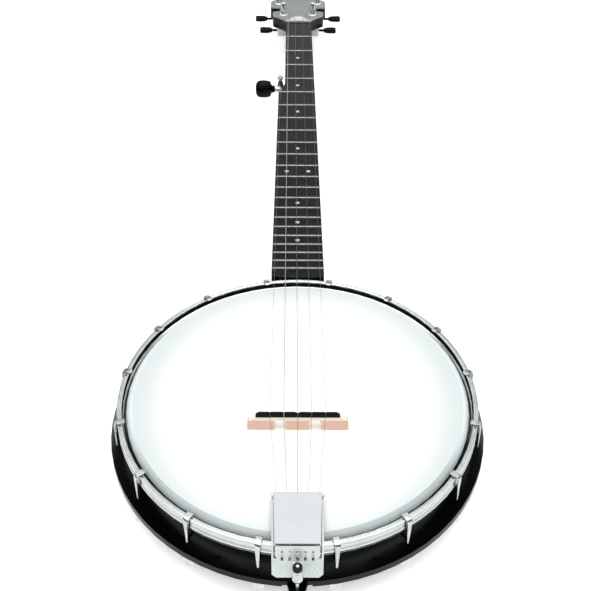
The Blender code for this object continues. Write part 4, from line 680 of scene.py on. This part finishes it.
def boardLeft(y):
    look = fingerboard
    if y > look["fifthFret"]:
        ramp = min(1, max(0, (look["rampEnd"] - y) / (look["rampEnd"] - look["rampStart"])))
        return -look["nutLeft"] - (look["fifthLeft"] - look["nutLeft"]) * ramp * ramp * (3 - 2 * ramp)
    share = (look["fifthFret"] - y) / (look["fifthFret"] - look["end"])
    return -look["fifthLeft"] - (look["endLeft"] - look["fifthLeft"]) * share


fretWire = {"count": 22, "length": 0.044, "width": 0.0023, "height": 0.00114, "crown": 0.0008, "segments": 4,
            "inset": 0.0002, "boardTop": -0.0011}


def fretPlace(fret):
    return neckLine["scale"] * 2 ** (-fret / 12)


def makeFretWires():
    look = fretWire
    deselectAll()
    bpy.ops.mesh.primitive_cube_add(size=1)
    wire = bpy.context.object
    bpy.ops.object.mode_set(mode="EDIT")
    bpy.ops.transform.resize(value=(look["length"], look["width"], look["height"]))
    bpy.ops.transform.translate(value=(0, 0, look["height"] / 2))
    choose(wire, "EDGE", lambda edge: min(vert.co.z for vert in edge.verts) > look["height"] * 0.9)
    bpy.ops.mesh.bevel(offset=look["crown"], segments=look["segments"], affect="EDGES")
    bpy.ops.object.mode_set(mode="OBJECT")
    wires = copiesOf(wire, look["count"])
    for fret, piece in enumerate(wires, 1):
        y = fretPlace(fret)
        left, right = boardLeft(y) + look["inset"], boardRight(y) - look["inset"]
        spot = Matrix.Translation(((left + right) / 2, y, look["boardTop"]))
        placed(piece, neckFrame @ spot @ Matrix.Diagonal(((right - left) / look["length"], 1, 1, 1)))
    finished(joined(wires), "fretWires", "nickelFret", "banjo", "steel", 40)


positionDot = {"frets": (3, 5, 7, 10, 15, 17, 19), "pairFret": 12, "pairOut": 0.011, "radius": 0.0020,
               "sides": 28, "inset": 0.00016, "crown": 0.00003, "depth": 0.0005, "rise": 0.00006, "middle": -0.0004}


def makePositionDots():
    look = positionDot
    deselectAll()
    bpy.ops.mesh.primitive_cylinder_add(vertices=look["sides"], radius=look["radius"], depth=look["depth"])
    dot = bpy.context.object
    bpy.ops.object.mode_set(mode="EDIT")
    choose(dot, "FACE", lambda face: face.normal.z > 0.9)
    bpy.ops.mesh.inset(thickness=look["inset"])
    bpy.ops.transform.translate(value=(0, 0, look["crown"]))
    bpy.ops.object.mode_set(mode="OBJECT")
    places = [(0, fret) for fret in look["frets"]]
    places += [(-look["pairOut"], look["pairFret"]), (look["pairOut"], look["pairFret"])]
    dots = copiesOf(dot, len(places))
    for piece, (x, fret) in zip(dots, places):
        y = (fretPlace(fret) + fretPlace(fret - 1)) / 2
        height = fretWire["boardTop"] + look["rise"] - look["depth"] / 2
        placed(piece, neckFrame @ Matrix.Translation((look["middle"] + x, y, height)))
    finished(joined(dots), "positionDots", "dotPearl", "banjo", "nut_white", 40)


thumbNut = {"axis": (0, -0.4469), "foot": 0.05352, "top": 0.05755, "radius": 0.00345, "chamfer": 0.0006,
            "sides": 26, "rows": 4, "knurl": 0.00026, "bore": 0.0019}


def makeThumbNut():
    look = thumbNut
    x, y = look["axis"]
    middle = (x, y, look["foot"])
    deselectAll()
    bpy.ops.mesh.primitive_circle_add(vertices=look["sides"], radius=look["radius"], fill_type="NOTHING",
                                      location=middle)
    nut = bpy.context.object
    bpy.ops.object.transform_apply(location=True, rotation=True, scale=True)
    bpy.ops.object.mode_set(mode="EDIT")
    bpy.ops.mesh.select_mode(type="VERT")
    bpy.ops.mesh.select_all(action="SELECT")
    row = (look["top"] - look["chamfer"] - look["foot"]) / look["rows"]
    for _ in range(look["rows"]):
        extruded((0, 0, row))
    inner = (look["radius"] - look["chamfer"]) / look["radius"]
    extruded((0, 0, look["chamfer"]), (inner, inner, 1), middle)
    bore = look["bore"] / (look["radius"] - look["chamfer"])
    extruded((0, 0, 0), (bore, bore, 1), middle)
    extruded((0, 0, look["foot"] - look["top"]))
    outer = look["radius"] / look["bore"]
    extruded((0, 0, 0), (outer, outer, 1), middle)
    bpy.ops.mesh.select_all(action="SELECT")
    bpy.ops.mesh.remove_doubles(threshold=mergeGap)
    bpy.ops.mesh.normals_make_consistent(inside=False)
    side = look["radius"] * 0.9
    choose(nut, "FACE", lambda face: abs(face.normal.z) < 0.2
           and math.hypot(face.calc_center_median().x - x, face.calc_center_median().y - y) > side)
    bpy.ops.mesh.poke(offset=look["knurl"])
    bpy.ops.object.mode_set(mode="OBJECT")
    finished(nut, "knurledThumbNut", "darkSteel", "thumb_nut", "dark_steel", 20, "tailpiece_thumb_nut")


# Stations of a tuner's button: distance out from the post, half width, half thickness
tunerButton = {
    "sides": 16,
    "stations": ((0.0050, 0.0015, 0.0015), (0.0144, 0.0015, 0.0015), (0.0145, 0.0015, 0.0015),
                 (0.0146, 0.0030, 0.0030), (0.0147, 0.0031, 0.0031), (0.0158, 0.0031, 0.0031),
                 (0.0159, 0.0030, 0.0030), (0.0161, 0.0024, 0.0024), (0.0165, 0.0024, 0.0024),
                 (0.0167, 0.0046, 0.0031), (0.0169, 0.0051, 0.0034), (0.0205, 0.0056, 0.0037),
                 (0.0260, 0.0057, 0.0038), (0.0290, 0.0054, 0.0036), (0.0295, 0.0047, 0.0031),
                 (0.02965, 0.0024, 0.0015)),
    "names": ("bass_low", "bass_high", "treble_low", "treble_high"),
}
fifthButton = {
    "sides": 16,
    "stations": ((-0.0028, 0.0019, 0.0019), (0.0, 0.0019, 0.0019), (0.0002, 0.0036, 0.0036),
                 (0.0018, 0.0044, 0.0044), (0.0036, 0.0037, 0.0037), (0.0046, 0.0060, 0.0088),
                 (0.0066, 0.0074, 0.0101), (0.0104, 0.0080, 0.0106), (0.0150, 0.0081, 0.0107),
                 (0.0188, 0.0078, 0.0101), (0.0212, 0.0060, 0.0076), (0.0220, 0.0032, 0.0040)),
}


def makePaddle(look):
    stations = look["stations"]
    out, wide, deep = stations[0]
    deselectAll()
    bpy.ops.mesh.primitive_circle_add(vertices=look["sides"], radius=1, fill_type="NGON", location=(-out, 0, 0),
                                      rotation=(0, math.pi / 2, 0))
    paddle = bpy.context.object
    bpy.ops.object.transform_apply(location=True, rotation=True, scale=True)
    bpy.ops.object.mode_set(mode="EDIT")
    bpy.ops.mesh.select_all(action="SELECT")
    bpy.ops.transform.resize(value=(1, wide, deep), center_override=(-out, 0, 0))
    for nextOut, nextWide, nextDeep in stations[1:]:
        extruded((out - nextOut, 0, 0), (1, nextWide / wide, nextDeep / deep), (-nextOut, 0, 0))
        out, wide, deep = nextOut, nextWide, nextDeep
    bpy.ops.object.mode_set(mode="OBJECT")
    applied(paddle, "SUBSURF", levels=2, render_levels=2)
    return paddle


def makeButtons():
    pieces = copiesOf(makePaddle(tunerButton), len(tunerButton["names"]))
    for name, piece in zip(tunerButton["names"], pieces):
        around = math.pi if "treble" in name else 0
        placed(piece, atJoint(f"button_{name}_turn") @ Matrix.Rotation(around, 4, "Z"))
        node = f"tuner_button_{name}"
        finished(piece, pieceName(node), "blackButton", bodyOf[node], "black_button", 60, node)
    fifth = makePaddle(fifthButton)
    placed(fifth, atJoint("button_fifth_turn", neckLine["tilt"]))
    finished(fifth, "fifthTunerButton", "blackButton", "fifth_button", "black_button", 60, "fifth_tuner_button")


# Spare turns of each string on its post; pitch is in radii, rise is from the headstock's face to the post's waist
stringWinding = {
    "sides": 8, "steps": 20, "turns": 3, "pitch": 2.1, "waist": 0.00216, "rise": 0.0054,
    "posts": {"string_1": ("treble_low", 0.000127), "string_2": ("treble_high", 0.00015),
              "string_3": ("bass_high", 0.000205), "string_4": ("bass_low", 0.000305)},
}


def makeWindings():
    look = stringWinding
    for node, (post, radius) in look["posts"].items():
        deselectAll()
        pitch = radius * look["pitch"]
        start = -pitch * look["turns"] / 2
        bpy.ops.mesh.primitive_circle_add(vertices=look["sides"], radius=radius, fill_type="NOTHING",
                                          location=(look["waist"] + radius, 0, start), rotation=(math.pi / 2, 0, 0))
        coil = bpy.context.object
        bpy.ops.object.transform_apply(location=True, rotation=True, scale=True)
        applied(coil, "SCREW", axis="Z", angle=2 * math.pi, screw_offset=pitch, iterations=look["turns"],
                steps=look["steps"], render_steps=look["steps"])
        bpy.ops.object.mode_set(mode="EDIT")
        bpy.ops.mesh.select_all(action="SELECT")
        bpy.ops.mesh.remove_doubles(threshold=mergeGap)
        bpy.ops.mesh.fill_holes(sides=look["sides"])
        bpy.ops.object.mode_set(mode="OBJECT")
        placed(coil, atJoint(f"post_{post}_turn") @ Matrix.Translation((0, 0, look["rise"])))
        finish = "woundWire" if node == "string_4" else "stringSteel"
        finished(coil, pieceName(node) + "Winding", finish, "banjo", "string_steel", 60)


casingScrew = {"radius": 0.0034, "sides": 28, "height": 0.0011, "rim": 0.0004, "slot": (0.0052, 0.0009, 0.0006),
               "below": 0.0243, "lowDeg": 25, "highDeg": -40}


def makeCasingScrews():
    # a slotted cap in the middle of each tuner casing's back
    look = casingScrew
    deselectAll()
    bpy.ops.mesh.primitive_cylinder_add(vertices=look["sides"], radius=look["radius"], depth=look["height"])
    cap = bpy.context.object
    bpy.ops.object.mode_set(mode="EDIT")
    choose(cap, "EDGE", lambda edge: max(vert.co.z for vert in edge.verts) < 0)
    bpy.ops.mesh.bevel(offset=look["rim"], segments=3, affect="EDGES")
    bpy.ops.object.mode_set(mode="OBJECT")
    deselectAll()
    bpy.ops.mesh.primitive_cube_add(size=1, location=(0, 0, -look["height"] / 2), scale=look["slot"])
    cutter = bpy.context.object
    applied(cap, "BOOLEAN", operation="DIFFERENCE", object=cutter, solver="EXACT")
    bpy.data.objects.remove(cutter)
    pieces = copiesOf(cap, len(tunerButton["names"]))
    for name, piece in zip(tunerButton["names"], pieces):
        turn = Matrix.Rotation(math.radians(look["lowDeg"] if "low" in name else look["highDeg"]), 4, "Z")
        under = Matrix.Translation((0, 0, -look["below"] - look["height"] / 2))
        placed(piece, atJoint(f"post_{name}_turn") @ under @ turn)
    finished(joined(pieces), "casingScrews", "chrome", "banjo", "chrome", 30)


# How each CAD piece is dressed: width of its rounded edges, angle that counts as an edge, its finish if special
dressing = {
    "rim": {"edge": 0.0003, "angleDeg": 30},
    "head": {"edge": 0.0, "angleDeg": 30},
    "tension_hoop": {"edge": 0.00012, "angleDeg": 34, "finish": "hoopChrome"},
    "neck": {"edge": 0.0004, "angleDeg": 40},
    "fingerboard": {"edge": 0.0002, "angleDeg": 30},
    "headstock_veneer": {"edge": 0.0003, "angleDeg": 35},
    "truss_rod_cover": {"edge": 0.0002, "angleDeg": 35, "finish": "coverWhite"},
    "tailpiece_body": {"edge": 0.0002, "angleDeg": 35, "finish": "plateChrome"},
    "tailpiece_lid": {"edge": 0.00025, "angleDeg": 35, "finish": "lidChrome"},
    "string_4": {"edge": 0.0, "angleDeg": 70, "finish": "woundWire"},
}
hookDressing = {"edge": 0.0002, "angleDeg": 52}
stringDressing = {"edge": 0.0, "angleDeg": 70}
casingDressing = {"edge": 0.00015, "angleDeg": 35, "finish": "caseChrome"}
usualDressing = {"edge": 0.00015, "angleDeg": 35}
cleaning = {"weld": 0.000005, "flatDeg": 0.3, "edgeSegments": 2}


def dressingOf(node):
    if node in dressing:
        return dressing[node]
    if node.startswith("hook"):
        return hookDressing
    if node.startswith("tuner_housing"):
        return casingDressing
    return stringDressing if node.startswith("string") else usualDressing


def roundedCopy(node):
    look = dressingOf(node)
    alone(nodes[node])
    bpy.ops.object.duplicate()
    piece = bpy.context.object
    piece.parent = None
    piece.matrix_world = Matrix.Identity(4)
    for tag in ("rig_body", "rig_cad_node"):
        del piece[tag]
    bpy.ops.object.mode_set(mode="EDIT")
    bpy.ops.mesh.select_all(action="SELECT")
    bpy.ops.mesh.remove_doubles(threshold=cleaning["weld"])
    bpy.ops.mesh.dissolve_limited(angle_limit=math.radians(cleaning["flatDeg"]))
    bpy.ops.object.mode_set(mode="OBJECT")
    if look["edge"]:
        applied(piece, "BEVEL", width=look["edge"], segments=cleaning["edgeSegments"], limit_method="ANGLE",
                angle_limit=math.radians(look["angleDeg"]))
    bpy.ops.object.shade_smooth_by_angle(angle=math.radians(look["angleDeg"]))
    applied(piece, "WEIGHTED_NORMAL", keep_sharp=True)
    piece.name = pieceName(node)
    piece.data.materials.clear()
    piece.data.materials.append(materials[look.get("finish", slotFinish[slotOf[node]])])
    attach(piece, bodyOf[node])
    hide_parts(node)


makeFretWires()
makePositionDots()
makeThumbNut()
makeButtons()
makeWindings()
makeCasingScrews()
print("new pieces made")
remade = {"tailpiece_thumb_nut", "fifth_tuner_button"} | {f"tuner_button_{name}" for name in tunerButton["names"]}
for node in sorted(set(nodes) - remade):
    roundedCopy(node)
print("pieces dressed")
